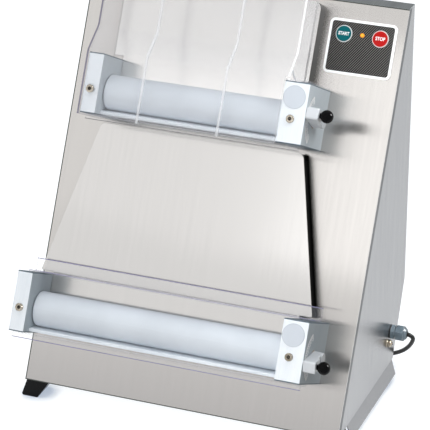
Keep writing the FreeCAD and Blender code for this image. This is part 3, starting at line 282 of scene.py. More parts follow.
def makeMouldedSkin():
    inputs = {"Vector": None, "Grain": 900.0, "Blotch": 14.0}
    group, given, out = newGroup("mouldedSkin", inputs, ["Height", "Blotch", "Speck"])
    grain = noise(group, given["Vector"], given["Grain"], 2.0)
    blotch = noise(group, given["Vector"], given["Blotch"], 3.0)
    speckScale = calc(group, "MULTIPLY", given["Grain"], skinShape["speckScale"])
    speck = put(group, "ShaderNodeTexVoronoi", {"Vector": given["Vector"], "Scale": speckScale}).outputs[0]
    feed(group, out, {"Height": grain, "Blotch": spread(group, blotch, *skinShape["blotchCut"]),
                      "Speck": spread(group, speck, *skinShape["speckSize"], 1.0, 0.0)})
    return group


print("shared effects")
brushedGrain = makeBrushedGrain()
wornEdgeAndHighlight = makeWornEdge()
mouldedSkin = makeMouldedSkin()


def effect(tree, group, feeds):
    return put(tree, "ShaderNodeGroup", feeds, node_tree=group).outputs


def newFinish(name):
    finish = bpy.data.materials.new(name)
    finish.use_nodes = True
    tree = finish.node_tree
    tree.nodes.clear()
    shader = put(tree, "ShaderNodeBsdfPrincipled")
    put(tree, "ShaderNodeOutputMaterial", {"Surface": shader.outputs[0]})
    return finish, tree, shader.inputs


def ownCoords(tree):
    return put(tree, "ShaderNodeTexCoord").outputs["Object"]


def mapped(tree, vector, turn, shift=(0, 0, 0)):
    feeds = {"Vector": vector, "Location": shift, "Rotation": turn}
    return put(tree, "ShaderNodeMapping", feeds).outputs[0]


def faceCoords(tree):  # (u, v, n) in metres
    return mapped(tree, ownCoords(tree), faceBack.to_euler(), faceBack.to_translation())


def acrossFaceCoords(tree):  # (-v, u, n): grain along the width
    return mapped(tree, faceCoords(tree), (0, 0, math.radians(90)))


def uprightCoords(tree):  # (x, z, -y): grain upright
    return mapped(tree, ownCoords(tree), (math.radians(-90), 0, 0))


# Dark lines along sheet edges, and darker sides, walls and bands. The lines on the brackets and all the
# darker sides, walls and bands are painted shade. Places and widths are in millimetres on the face's axes. A
# fade, such as upper, runs between two places in metres or two tilts, and may end with its two shares.
rimSettings = {
    "front": {"left": -258.3, "top": 657.4, "foot": 1.6, "tone": (84, 88, 84)},
    "shadeBesideChute": {"low": 190.0, "high": 197.6, "slope": 0.2321, "foot": 176.0, "top": 419.0,
                  "softSides": 1.6, "softEnds": 2.0, "tone": (46, 47, 44)},
    "side": {"seam": -13.0, "skirtTilt": (0.15, 0.3), "skirtShadeShare": 0.26, "tone": (66, 68, 70)},
    "plate": {"wallBelow": 25.6, "soft": 0.3, "upper": (0.42, 0.66, 0.99, 0.85),
              "right": (-0.05, 0.05, 0.25, 1.0), "tone": (26, 25, 24)},
    "bracket": {"edges": (520.0, 426.0, 171.7, 77.7), "line": 1.8, "tone": (92, 106, 116)},
    "bracketSideShade": {"turned": (0.5, 0.9), "unit": (0.25, 0.35, 0.6, 0.42), "tone": (104, 122, 130)},
}


# Each of these functions gives a metal's masks, each with the tone that it lays on
def frontRims(tree):
    across, up, _ = axes(tree, faceCoords(tree))
    beside = rimSettings["shadeBesideChute"]  # dark beside the chute's right spacer: painted shade
    rise = calc(tree, "SUBTRACT", up, beside["foot"] * mm)
    leaning = calc(tree, "MULTIPLY_ADD", rise, beside["slope"], across)  # the chute narrows upwards
    shade = calc(tree, "MULTIPLY", within(tree, leaning, beside["low"], beside["high"], beside["softSides"]),
                 within(tree, up, beside["foot"], beside["top"], beside["softEnds"]))
    rim = rimSettings["front"]
    lines = [below(tree, across, rim["left"]), above(tree, up, rim["top"]), below(tree, up, rim["foot"])]
    return [(shade, beside["tone"])] + [(line, rim["tone"]) for line in lines]


def sideRims(tree):
    rim = rimSettings["side"]
    seam = above(tree, axes(tree, faceCoords(tree))[2], rim["seam"])
    # the flared skirt a little darker: painted shade
    skirt = spread(tree, axes(tree, surfaceNormal(tree))[2], *rim["skirtTilt"], 0.0, rim["skirtShadeShare"])
    return [(seam, rim["tone"]), (skirt, rim["tone"])]


def plateWalls(tree):
    across, up, out = axes(tree, faceCoords(tree))
    wall = rimSettings["plate"]
    depth = calc(tree, "MULTIPLY", spread(tree, up, *wall["upper"]), spread(tree, across, *wall["right"]))
    return [(calc(tree, "MULTIPLY", below(tree, out, wall["wallBelow"], wall["soft"]), depth), wall["tone"])]


def bracketRims(tree):
    up = axes(tree, faceCoords(tree))[1]
    side = rimSettings["bracketSideShade"]  # painted shade: what faces right is greyer, most of all on the lower unit
    turned = spread(tree, axes(tree, surfaceNormal(tree))[0], *side["turned"])
    masks = [(calc(tree, "MULTIPLY", turned, spread(tree, up, *side["unit"])), side["tone"])]
    # dark lines along the brackets' top and bottom edges: painted shade
    rim = rimSettings["bracket"]
    for edge in rim["edges"]:
        away = calc(tree, "ABSOLUTE", calc(tree, "SUBTRACT", up, edge * mm))
        masks.append((below(tree, away, rim["line"]), rim["tone"]))
    return masks


def alongTones(tree, paintedShading):
    masks = []
    for rise, fall, amount, tone in paintedShading:  # painted light and shade up the face: where the tone comes in, where it goes, how strong
        up = axes(tree, faceCoords(tree))[1]
        rising = spread(tree, up, *rise, 0.0, amount)
        masks.append((calc(tree, "MULTIPLY", rising, spread(tree, up, *fall, 1.0, 0.0)), tone))
    return masks


# Metals: streaks run from the deep to the pale tint, and edges take the edge tint, as wear and as a painted
# highlight
metalSettings = {
    "frontSteel": {
        "pale": (208, 205, 202), "deep": (201, 198, 195), "edge": (244, 246, 246), "coords": faceCoords,
        "roughness": (0.18, 0.21), "fineness": 2600, "length": 140, "relief": 0.012,
        # the panel darkens towards its foot: painted shade
        "rims": frontRims, "smear": 0.9, "paintedShading": (((-1.0, -0.9), (0.0, 0.15), 0.45, (150, 148, 149)),)},
    # a darker copy of the steel for the side panels and rear cover: painted shade
    "shadedSideSteel": {
        "pale": (158, 158, 159), "deep": (150, 150, 152), "edge": (226, 228, 230), "coords": uprightCoords,
        "metallic": 0.95, "roughness": (0.2, 0.28), "fineness": 2000, "length": 80, "relief": 0.015,
        "rims": sideRims, "smear": 0.6, "smearWay": (0, 1, 0)},
    # a darker copy of the steel for the top cover: a painted dark reflection
    "shadedTopSteel": {
        "pale": (100, 106, 108), "deep": (80, 86, 88), "edge": (206, 212, 214),
        "metallic": 0.9, "roughness": (0.26, 0.38), "fineness": 800, "length": 60, "relief": 0.05},
    "galvanisedZinc": {
        "pale": (130, 134, 134), "deep": (112, 117, 118), "edge": (190, 194, 198),
        "metallic": 0.8, "roughness": (0.4, 0.6), "fineness": 60, "length": 1.4, "relief": 0.03},
    "doughPlateSteel": {
        "pale": (216, 214, 212), "deep": (210, 208, 206), "edge": (250, 250, 248), "coords": faceCoords,
        "roughness": (0.15, 0.2), "fineness": 2600, "length": 150, "relief": 0.008,
        "rims": plateWalls, "smear": 0.85, "gloss": 0.05,
        # the slide lighter, most of all just above the roller: painted light
        "paintedShading": (((0.46, 0.47), (1.0, 1.1), 0.5, (232, 231, 230)),
                  ((0.46, 0.47), (0.49, 0.56), 0.75, (252, 250, 248)))},
    "satinAluminium": {
        "pale": (236, 240, 244), "deep": (224, 230, 236), "edge": (252, 253, 254), "coords": faceCoords,
        "metallic": 0.0, "roughness": (0.34, 0.46), "fineness": 900, "length": 30, "relief": 0.03,
        "rims": bracketRims, "gloss": 0.1},
    "nickel": {
        "pale": (206, 199, 186), "deep": (110, 102, 88), "edge": (236, 230, 220), "coords": faceCoords,
        "roughness": (0.14, 0.26), "fineness": 300, "length": 1.2, "relief": 0.02},
    "brassNickel": {
        "pale": (184, 174, 158), "deep": (112, 102, 88), "edge": (240, 230, 212),
        "roughness": (0.14, 0.26), "fineness": 600, "length": 1.2, "relief": 0.03},
    "shaftSteel": {
        "pale": (206, 208, 212), "deep": (178, 181, 186), "edge": (235, 236, 238), "coords": acrossFaceCoords,
        "roughness": (0.18, 0.3), "fineness": 600, "length": 0.05, "relief": 0.03},
    "bushBronze": {
        "pale": (168, 158, 142), "deep": (136, 126, 110), "edge": (200, 190, 174),
        "metallic": 0.9, "roughness": (0.35, 0.5), "fineness": 500, "length": 2, "relief": 0.03},
    "castHousing": {
        "pale": (150, 154, 156), "deep": (120, 124, 127), "edge": (180, 184, 186),
        "metallic": 0.5, "roughness": (0.5, 0.68), "fineness": 380, "length": 1, "relief": 0.25},
    "pulleyAluminium": {
        "pale": (204, 207, 210), "deep": (176, 180, 184), "edge": (234, 236, 238),
        "roughness": (0.26, 0.4), "fineness": 500, "length": 3, "relief": 0.04},
    "bracketSteel": {
        "pale": (176, 178, 182), "deep": (150, 153, 158), "edge": (210, 212, 214), "coords": faceCoords,
        "metallic": 0.9, "roughness": (0.35, 0.5), "fineness": 500, "length": 20, "relief": 0.05},
}
metalWearAndHighlight = {"radius": 0.0011, "edgeShare": 0.8, "cloudScale": 4.0, "cloudShare": 0.35}


def makeMetal(name, pale, deep, edge, roughness, fineness, length, relief, metallic=1.0, coords=ownCoords,
              rims=None, smear=0.0, smearWay=(1, 0, 0), gloss=0.5, paintedShading=()):
    finish, tree, shader = newFinish(name)
    grain = effect(tree, brushedGrain, {"Vector": coords(tree), "Fineness": fineness, "Length": length,
                                        "Cloud": metalWearAndHighlight["cloudScale"]})
    wornAndHighlit = effect(tree, wornEdgeAndHighlight, {"Radius": metalWearAndHighlight["radius"]})
    colour = mixTint(tree, grain["Streak"], tint(*deep), tint(*pale))
    cloud = calc(tree, "MULTIPLY", grain["Cloud"], metalWearAndHighlight["cloudShare"])
    colour = mixTint(tree, cloud, colour, tint(*pale))
    # edges: wear and a painted highlight
    colour = mixTint(tree, calc(tree, "MULTIPLY", wornAndHighlit["Edge"], metalWearAndHighlight["edgeShare"]), colour, tint(*edge))
    masks = alongTones(tree, paintedShading) + (rims(tree) if rims else [])
    for share, tone in masks:
        colour = mixTint(tree, share, colour, tint(*tone))
    if rims is plateWalls:  # the folded walls stay dull and dark: painted shade
        metallic = spread(tree, masks[-1][0], 0, 1, metallic, 0.0)
    feed(tree, shader, {
        "Base Color": colour, "Metallic": metallic, "Specular IOR Level": gloss, "Anisotropic": smear,
        "Roughness": spread(tree, grain["Streak"], 0, 1, roughness[1], roughness[0]),
        "Normal": bump(tree, grain["Height"], relief, wornAndHighlit["Normal"])})
    if smear:  # brushed one way, so what it mirrors is drawn out the other way
        sideways = put(tree, "ShaderNodeCombineXYZ", dict(enumerate(smearWay)))
        tree.links.new(sideways.outputs[0], shader["Tangent"])
    return finish


# Plastics, rubber and paint
mouldedSettings = {
    "rollerPlastic": {"pale": (213, 219, 226), "deep": (205, 211, 218), "roughness": (0.38, 0.5),
                      "grain": 900, "relief": 0.03, "edge": 0.25, "gloss": 0.25},
    "leverPlastic": {"pale": (204, 207, 211), "deep": (194, 197, 201), "roughness": (0.2, 0.3),
                     "grain": 700, "relief": 0.02, "edge": 0.5, "gloss": 0.3, "coat": 0.15},
    "knobBlack": {"pale": (8, 8, 9), "deep": (4, 4, 5), "roughness": (0.07, 0.12),
                  "grain": 600, "relief": 0.004, "edge": 0.02, "gloss": 0.06},
    "footRubber": {"pale": (16, 16, 18), "deep": (7, 7, 8), "roughness": (0.16, 0.3),
                   "grain": 500, "relief": 0.03, "edge": 0.16, "gloss": 0.12},
    "blackPlastic": {"pale": (9, 8, 8), "deep": (4, 4, 4), "roughness": (0.4, 0.55),
                     "grain": 800, "relief": 0.06, "edge": 0.04, "gloss": 0.02},
    "scraperWhite": {"pale": (226, 231, 236), "deep": (212, 218, 225), "roughness": (0.35, 0.5),
                     "grain": 700, "relief": 0.03, "edge": 0.3, "gloss": 0.2},
    "motorPaint": {"pale": (92, 104, 120), "deep": (74, 85, 100), "roughness": (0.35, 0.5),
                   "grain": 420, "relief": 0.1, "edge": 0.2, "gloss": 0.5, "coat": 0.2},
    "beltRubber": {"pale": (36, 36, 37), "deep": (20, 20, 21), "roughness": (0.55, 0.75),
                   "grain": 900, "relief": 0.12, "edge": 0.1, "gloss": 0.25},
    "tensionerPlastic": {"pale": (228, 226, 216), "deep": (214, 211, 200), "roughness": (0.35, 0.5),
                         "grain": 800, "relief": 0.03, "edge": 0.2, "gloss": 0.45},
    "cordRubber": {"pale": (34, 33, 33), "deep": (18, 17, 17), "roughness": (0.34, 0.5),
                   "grain": 700, "relief": 0.05, "edge": 0.0, "gloss": 0.25},
    "recessShade": {"pale": (46, 40, 32), "deep": (26, 22, 17), "roughness": (0.35, 0.5),
                    "grain": 900, "relief": 0.03, "edge": 0.0, "gloss": 0.2},
    "plugRubber": {"pale": (38, 37, 37), "deep": (22, 21, 21), "roughness": (0.4, 0.55),
                   "grain": 800, "relief": 0.08, "edge": 0.12, "gloss": 0.3},
}
mouldedWearAndHighlight = {"radius": 0.0006, "speckShare": 0.08, "coatRoughness": 0.06}
plainWhite = (1, 1, 1, 1)


def makeMoulded(name, pale, deep, roughness, grain, relief, edge, gloss, coat=0.0):
    finish, tree, shader = newFinish(name)
    skin = effect(tree, mouldedSkin, {"Vector": ownCoords(tree), "Grain": grain})
    wornAndHighlit = effect(tree, wornEdgeAndHighlight, {"Radius": mouldedWearAndHighlight["radius"]})
    colour = mixTint(tree, skin["Blotch"], tint(*deep), tint(*pale))
    speck = calc(tree, "MULTIPLY", skin["Speck"], mouldedWearAndHighlight["speckShare"])
    colour = mixTint(tree, speck, colour, tint(*deep))
    # edges go towards white: wear and a painted highlight
    feed(tree, shader, {
        "Base Color": mixTint(tree, calc(tree, "MULTIPLY", wornAndHighlit["Edge"], edge), colour, plainWhite),
        "Roughness": spread(tree, skin["Blotch"], 0, 1, roughness[1], roughness[0]),
        "Normal": bump(tree, skin["Height"], relief, wornAndHighlit["Normal"]),
        "Specular IOR Level": gloss, "Coat Weight": coat, "Coat Roughness": mouldedWearAndHighlight["coatRoughness"]})
    return finish


# Clear sheet: how much of it shows seen straight on, what a grazing view adds and what its haze adds. Its
# edges and marked places carry the rim tints, nearRim on the left and farRim on the right; on the guard the
# dark left rim is painted shade and the white right rim a painted highlight.
clearSettings = {
    "clearGuard": {"body": (224, 224, 230), "straight": 0.04, "grazing": 0.14, "haze": 0.02,
                   # the dark near rim is painted shade, the white far rim a painted highlight
                   "nearRim": (104, 100, 122), "farRim": (250, 250, 252), "edge": 0.6,
                   "cheeks": ((-203.6, -200.4), (121.4, 124.6))},
    "clearStrip": {"body": (226, 228, 234), "straight": 0.02, "grazing": 0.22, "haze": 0.02,
                   "nearRim": (126, 122, 164), "farRim": (128, 126, 160), "edge": 0.4,
                   "lips": ((192.6, 196.7), (173.5, 174.3), (414.5, 418.5), (66.2, 70.2)),
                   # the dark line under the upper roller is painted shade
                   "upper": (400, 440, (104, 105, 108))},
    "clearRib": {"body": (242, 243, 246), "straight": 0.31, "grazing": 0.2, "haze": 0.05},
}
clearSheet = {"grain": 220, "blotch": 9, "edgeRadius": 0.0019, "edgeStrength": 5.0, "grazingBlend": 0.35,
              "edgeOn": (0.4, 0.7), "clearOfFace": (0.03, 0.034), "nearToFar": (-0.15, -0.05),
              "rimShare": 0.8, "roughness": (0.06, 0.14), "bending": 1.49}


def makeClear(name, body, straight, grazing, haze, nearRim=(250, 250, 252), farRim=(250, 250, 252), edge=0.0,
              cheeks=(), lips=(), upper=None):
    finish, tree, shader = newFinish(name)
    skinFeeds = {"Vector": ownCoords(tree), "Grain": clearSheet["grain"], "Blotch": clearSheet["blotch"]}
    skin = effect(tree, mouldedSkin, skinFeeds)
    edgeFeeds = {"Radius": clearSheet["edgeRadius"], "Strength": clearSheet["edgeStrength"]}
    wornAndHighlit = effect(tree, wornEdgeAndHighlight, edgeFeeds)
    facing = put(tree, "ShaderNodeLayerWeight", {"Blend": clearSheet["grazingBlend"]}).outputs["Facing"]
    across = axes(tree, ownCoords(tree))[0]
    _, up, out = axes(tree, faceCoords(tree))
    turned = calc(tree, "ABSOLUTE", axes(tree, surfaceNormal(tree))[0])
    edgeOn = calc(tree, "MULTIPLY", spread(tree, turned, *clearSheet["edgeOn"], 1.0, 0.0),
                  spread(tree, out, *clearSheet["clearOfFace"]))
    rimMark = calc(tree, "MULTIPLY", wornAndHighlit["Edge"], edge)
    for cheek in cheeks:
        mark = calc(tree, "MULTIPLY", edgeOn, within(tree, across, *cheek))
        rimMark = calc(tree, "MAXIMUM", rimMark, mark)
    for lip in lips:
        rimMark = calc(tree, "MAXIMUM", rimMark, within(tree, up, *lip))
    seen = calc(tree, "MULTIPLY_ADD", facing, grazing, straight)
    seen = calc(tree, "MULTIPLY_ADD", skin["Blotch"], haze, seen)
    seen = calc(tree, "MAXIMUM", calc(tree, "MULTIPLY", rimMark, clearSheet["rimShare"]), seen, clamp=True)
    rimTint = mixTint(tree, spread(tree, across, *clearSheet["nearToFar"]), tint(*nearRim), tint(*farRim))
    if upper:  # the upper unit's strip has its own line tone: painted shade under its roller
        low, high, tone = upper
        rimTint = mixTint(tree, within(tree, up, low, high), rimTint, tint(*tone))
    feed(tree, shader, {
        "Base Color": mixTint(tree, rimMark, tint(*body), rimTint), "Alpha": seen,
        "Roughness": spread(tree, skin["Blotch"], 0, 1, *clearSheet["roughness"]),
        "IOR": clearSheet["bending"]})
    return finish


print("finishes")
finishes = {}
for name, settings in metalSettings.items():
    finishes[name] = makeMetal(name, **settings)
for name, settings in mouldedSettings.items():
    finishes[name] = makeMoulded(name, **settings)
for name, settings in clearSettings.items():
    finishes[name] = makeClear(name, **settings)


# Control pad: white border, dark field with slanting hatch
plainGrey = (0.5, 0.5, 0.5, 1)
padFilm = {"middle": (193.7, 590.0), "half": (53.5, 42.2), "corner": 8.0, "border": 3.8, "hatchPitch": 2.89,
           "hatchAngle": 52.6, "hatchCut": (0.45, 0.9), "white": (250, 251, 251), "dark": (5, 4, 4),
           "line": (128, 126, 124), "blotch": 0.008, "roughness": (0.36, 0.5), "relief": 0.04, "gloss": 0.08}


def makePadFilm(middle, half, corner, border, hatchPitch, hatchAngle, hatchCut, white, dark, line, blotch,
                roughness, relief, gloss):
    finish, tree, shader = newFinish("padFilm")
    across, up, _ = axes(tree, faceCoords(tree))
    squares = []
    for part, centre, reach in ((across, middle[0], half[0]), (up, middle[1], half[1])):
        offset = calc(tree, "ABSOLUTE", calc(tree, "SUBTRACT", part, centre * mm))
        past = calc(tree, "MAXIMUM", calc(tree, "SUBTRACT", offset, (reach - corner) * mm), 0.0)
        squares.append(calc(tree, "MULTIPLY", past, past))
    distance = calc(tree, "SQRT", calc(tree, "ADD", *squares))
    inside = below(tree, distance, corner - border, 0.2)
    slant = math.radians(hatchAngle)
    along = calc(tree, "SUBTRACT", calc(tree, "MULTIPLY", across, math.sin(slant)),
                 calc(tree, "MULTIPLY", up, math.cos(slant)))
    wave = calc(tree, "SINE", calc(tree, "MULTIPLY", along, 2 * math.pi / (hatchPitch * mm)))
    field = mixTint(tree, spread(tree, wave, *hatchCut), tint(*dark), tint(*line))
    skin = effect(tree, mouldedSkin, {"Vector": ownCoords(tree), "Grain": 900})
    colour = mixTint(tree, inside, tint(*white), field)
    feed(tree, shader, {
        "Base Color": mixTint(tree, calc(tree, "MULTIPLY", skin["Blotch"], blotch), colour, plainGrey),
        "Roughness": spread(tree, skin["Blotch"], 0, 1, *roughness),
        "Normal": bump(tree, skin["Height"], relief), "Specular IOR Level": gloss})
    return finish


finishes["padFilm"] = makePadFilm(**padFilm)


# Round film buttons with a pale ring, and cap discs with a thin outline
discSettings = {
    "startTeal": {"centres": [(164.5, 609.5)], "radius": 11.9, "field": (0, 88, 94), "ring": (206, 212, 212),
                  "roughness": 0.34, "gloss": 0.05},
    "stopRed": {"centres": [(222.7, 608.5)], "radius": 11.9, "field": (170, 24, 22), "ring": (218, 206, 206),
                "roughness": 0.34, "gloss": 0.05},
    "capDisc": {"centres": [(136.5, 496.5), (196.0, 148.2)], "radius": 16.8, "field": (200, 206, 214),
                "ring": (184, 190, 198), "roughness": 0.42, "gloss": 0.25},
}


def makeDisc(name, centres, radius, field, ring, roughness, gloss):
    finish, tree, shader = newFinish(name)
    skin = effect(tree, mouldedSkin, {"Vector": ownCoords(tree), "Grain": 900})
    wornAndHighlit = effect(tree, wornEdgeAndHighlight, {"Radius": 0.0004})
    place = faceCoords(tree)
    reaches = []
    for across, up in centres:
        flat = vectorCalc(tree, "ADD", place, (-across * mm, -up * mm, 0))
        reaches.append(vectorCalc(tree, "LENGTH", vectorCalc(tree, "MULTIPLY", flat, (1, 1, 0))))
    nearest = reaches[0]
    for reach in reaches[1:]:
        nearest = calc(tree, "MINIMUM", nearest, reach)
    body = mixTint(tree, calc(tree, "MULTIPLY", skin["Blotch"], 0.015), tint(*field), plainGrey)
    feed(tree, shader, {
        "Base Color": mixTint(tree, above(tree, nearest, radius), body, tint(*ring)),
        "Roughness": spread(tree, skin["Blotch"], 0, 1, roughness, roughness + 0.1),
        "Normal": bump(tree, skin["Height"], 0.03, wornAndHighlit["Normal"]), "Specular IOR Level": gloss})
    return finish


for name, settings in discSettings.items():
    finishes[name] = makeDisc(name, **settings)


# Signal lamp: amber, paler in its middle, with a weak glow of its own
lampAmber = {"middle": (255, 170, 30), "rim": (232, 120, 10), "blotch": (255, 200, 90), "blotchShare": 0.15,
             "roughness": (0.12, 0.2), "glow": (255, 150, 20), "glowStrength": 0.15, "coat": 0.5}


def makeLampAmber(middle, rim, blotch, blotchShare, roughness, glow, glowStrength, coat):
    finish, tree, shader = newFinish("lampAmber")
    skin = effect(tree, mouldedSkin, {"Vector": ownCoords(tree), "Grain": 1200})
    facing = put(tree, "ShaderNodeLayerWeight", {"Blend": 0.4}).outputs["Facing"]
    colour = mixTint(tree, facing, tint(*middle), tint(*rim))
    share = calc(tree, "MULTIPLY", skin["Blotch"], blotchShare)
    feed(tree, shader, {
        "Base Color": mixTint(tree, share, colour, tint(*blotch)),
        "Roughness": spread(tree, skin["Blotch"], 0, 1, *roughness),
        "Emission Color": tint(*glow), "Emission Strength": glowStrength, "Coat Weight": coat})
    return finish


finishes["lampAmber"] = makeLampAmber(**lampAmber)


# Gland: blue-grey plastic with a black washer against the side wall
glandPlastic = {"pale": (132, 148, 158), "deep": (98, 114, 124), "edge": (196, 210, 218), "edgeShare": 0.6,
                "washer": (22, 22, 24), "washerStart": 259.9, "washerEnd": 261.5, "roughness": (0.28, 0.4),
                "relief": 0.05}


def makeGlandPlastic(pale, deep, edge, edgeShare, washer, washerStart, washerEnd, roughness, relief):
    finish, tree, shader = newFinish("glandPlastic")
    skin = effect(tree, mouldedSkin, {"Vector": ownCoords(tree), "Grain": 700, "Blotch": 60})
    wornAndHighlit = effect(tree, wornEdgeAndHighlight, {"Radius": 0.0008, "Strength": 4.0})
    colour = mixTint(tree, skin["Blotch"], tint(*deep), tint(*pale))
    # lighter edges: wear and a painted highlight
    colour = mixTint(tree, calc(tree, "MULTIPLY", wornAndHighlit["Edge"], edgeShare), colour, tint(*edge))
    across = axes(tree, ownCoords(tree))[0]
    band = calc(tree, "MULTIPLY", calc(tree, "GREATER_THAN", across, washerStart * mm),
                calc(tree, "LESS_THAN", across, washerEnd * mm))
    feed(tree, shader, {
        "Base Color": mixTint(tree, band, colour, tint(*washer)),
        "Roughness": spread(tree, skin["Blotch"], 0, 1, *roughness),
        "Normal": bump(tree, skin["Height"], relief, wornAndHighlit["Normal"])})
    return finish


finishes["glandPlastic"] = makeGlandPlastic(**glandPlastic)


# Printed ink, a little uneven
whiteInk = {"ink": (250, 250, 250), "blotch": (0.6, 0.6, 0.6, 1), "blotchShare": 0.12,
            "roughness": (0.4, 0.6)}


def makeWhiteInk(ink, blotch, blotchShare, roughness):
    finish, tree, shader = newFinish("whiteInk")
    skin = effect(tree, mouldedSkin, {"Vector": ownCoords(tree), "Grain": 1500, "Blotch": 300})
    share = calc(tree, "MULTIPLY", skin["Blotch"], blotchShare)
    feed(tree, shader, {
        "Base Color": mixTint(tree, share, tint(*ink), blotch),
        "Roughness": spread(tree, skin["Blotch"], 0, 1, *roughness)})
    return finish


finishes["whiteInk"] = makeWhiteInk(**whiteInk)


# Every solid that shows gets its finish
nodeFinishes = {
    "frontSteel": ["front_panel"],
    "shadedSideSteel": ["left_side_panel", "right_side_panel", "rear_cover"],
    "shadedTopSteel": ["top_cover"],
    "galvanisedZinc": ["base_pan"],
    "nickel": ["casing_screws", "bracket_screws"],
    "footRubber": ["feet"],
    "doughPlateSteel": ["upper_slide", "lower_chute"],
    "blackPlastic": ["chute_spacers", "control_box"],
    "satinAluminium": ["upper_left_bracket", "upper_right_bracket", "lower_left_bracket",
                       "lower_right_bracket"],
    "shaftSteel": ["upper_eccentric_axle", "lower_eccentric_axle", "upper_rear_shaft", "lower_rear_shaft",
                   "drive_shaft"],
    "rollerPlastic": ["upper_front_roller", "lower_front_roller", "upper_rear_roller", "lower_rear_roller"],
    "bushBronze": ["upper_roller_bushes", "lower_roller_bushes", "shaft_bushes"],
    "pulleyAluminium": ["upper_driven_pulley", "lower_driven_pulley", "drive_pulleys"],
    "beltRubber": ["upper_drive_belt", "lower_drive_belt"],
    "leverPlastic": ["upper_lever", "lower_lever"],
    "knobBlack": ["upper_lever_knob", "lower_lever_knob"],
    "clearGuard": ["upper_guard"],
    "clearRib": ["upper_guard_ribs"],
    "clearStrip": ["upper_bottom_guard", "lower_top_guard", "lower_bottom_guard"],
    "scraperWhite": ["front_scrapers", "rear_scrapers"],
    "capDisc": ["cap_discs"],
    "motorPaint": ["motor"],
    "castHousing": ["gearbox"],
    "tensionerPlastic": ["tensioner_wheel"],
    "bracketSteel": ["tensioner_bracket"],
    "padFilm": ["control_pad"],
    "startTeal": ["start_button"],
    "stopRed": ["stop_button"],
    "lampAmber": ["lamp"],
    "glandPlastic": ["cable_gland", "gland_nut"],
    "brassNickel": ["earth_terminal"],
    "plugRubber": ["mains_plug"],
}
for name, nodes in nodeFinishes.items():
    for node in nodes:
        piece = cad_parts[node]
        if not piece.material_slots:
            piece.data.materials.append(finishes[name])
        for slot in piece.material_slots:
            slot.material = finishes[name]


def dress(piece, finish):
    piece.data.materials.clear()
    piece.data.materials.append(finish)


def viewRays(tree):  # what is seen straight, mirrored or through clear sheet
    rays = put(tree, "ShaderNodeLightPath").outputs
    besides = calc(tree, "MAXIMUM", rays["Is Glossy Ray"], rays["Is Transmission Ray"])
    return calc(tree, "MAXIMUM", rays["Is Camera Ray"], besides)


# Floor: pale, lifted towards the white of the background, with a painted contact shadow where feet and skirt
# come near it
print("floor and surroundings")
floorSettings = {"size": 14.0, "colour": (0.36, 0.356, 0.348, 1), "roughness": 0.8, "gloss": 0.1,
                 "lift": 0.93, "liftColour": (0.95, 0.975, 1.0, 1), "contact": 0.025,
                 "contactCut": (0.5, 0.98), "contactShadowColour": (0.42, 0.48, 0.58, 1)}
unselect()
bpy.ops.mesh.primitive_plane_add(size=floorSettings["size"], location=(0, 0, 0))
floor = bpy.context.object
floor.name = "studioFloor"
floorPaint, tree, shader = newFinish("floorPaint")
openness = put(tree, "ShaderNodeAmbientOcclusion", {"Distance": floorSettings["contact"]}).outputs["AO"]
openness = spread(tree, openness, *floorSettings["contactCut"])
feed(tree, shader, {
    "Base Color": floorSettings["colour"], "Roughness": floorSettings["roughness"],
    "Specular IOR Level": floorSettings["gloss"],
    "Emission Color": mixTint(tree, openness, floorSettings["contactShadowColour"], floorSettings["liftColour"]),
    "Emission Strength": calc(tree, "MULTIPLY", viewRays(tree), floorSettings["lift"])})
dress(floor, floorPaint)

# Surroundings: white to look at, and a soft light that is brighter from one side
surroundings = {"dim": 0.06, "bright": 0.7, "from": (-0.78, -0.36, 0.5), "turning": (-0.7, 0.9),
                "lightColour": (0.95, 0.975, 1.0, 1), "wall": (1, 1, 1, 1)}
world = bpy.data.worlds.new("studio")
bpy.context.scene.world = world
world.use_nodes = True
tree = world.node_tree
tree.nodes.clear()
way = put(tree, "ShaderNodeTexCoord").outputs["Generated"]
turned = vectorCalc(tree, "DOT_PRODUCT", way, surroundings["from"])
glow = spread(tree, turned, *surroundings["turning"], surroundings["dim"], surroundings["bright"])
softLight = put(tree, "ShaderNodeBackground", {"Color": surroundings["lightColour"], "Strength": glow})
whiteWall = put(tree, "ShaderNodeBackground", {"Color": surroundings["wall"], "Strength": 1.0})
shaders = {0: viewRays(tree), 1: softLight.outputs[0], 2: whiteWall.outputs[0]}
both = put(tree, "ShaderNodeMixShader", shaders)
put(tree, "ShaderNodeOutputWorld", {"Surface": both.outputs[0]})


# Mains lead: the same route as the solid's, then the put-away turns behind the casing
print("mains lead")
leadSettings = {"thickness": 6.8, "length": 1.95, "coilStart": (20.0, 397.0, -28.6), "radius": 49.0,
                "step": 3.8, "rise": 7.4, "halfTurns": 13, "pointsPerHalf": 7, "tail": 22.0}
leadRoute = [
    (283.5, 262.6, 55.2), (288.0, 262.6, 55.2), (292.2, 263.8, 53.2), (294.7, 266.0, 49.7),
    (295.0, 268.9, 45.0), (291.8, 274.6, 36.2), (284.0, 283.5, 22.0), (271.0, 294.2, 6.4),
    (251.5, 306.0, -8.6), (226.0, 320.5, -21.6), (196.0, 336.5, -28.6), (163.0, 351.5, -28.6),
    (131.0, 369.0, -28.6), (102.0, 388.0, -28.6), (74.0, 397.0, -28.6), (40.0, 397.0, -28.6),
]


def coilPoints(coilStart, radius, step, rise, halfTurns, pointsPerHalf, tail, **others):
    x, y, z = coilStart
    points = [coilStart]
    way = -1
    for half in range(halfTurns):
        centreY = y + way * radius
        climb = rise if half == halfTurns // 2 else 0.0
        start = 90 if way < 0 else 270
        for part in range(1, pointsPerHalf + 1):
            share = part / pointsPerHalf
            angle = math.radians(start + 180 * share)
            across, up = radius * math.cos(angle), radius * math.sin(angle)
            points.append((x + across, centreY + up, z + climb * share))
        y += 2 * way * radius
        z += climb
        way = -way
        radius += -step if half < halfTurns // 2 else step  # inwards below, outwards again above
    points.append((x + way * tail, y, z))
    return points


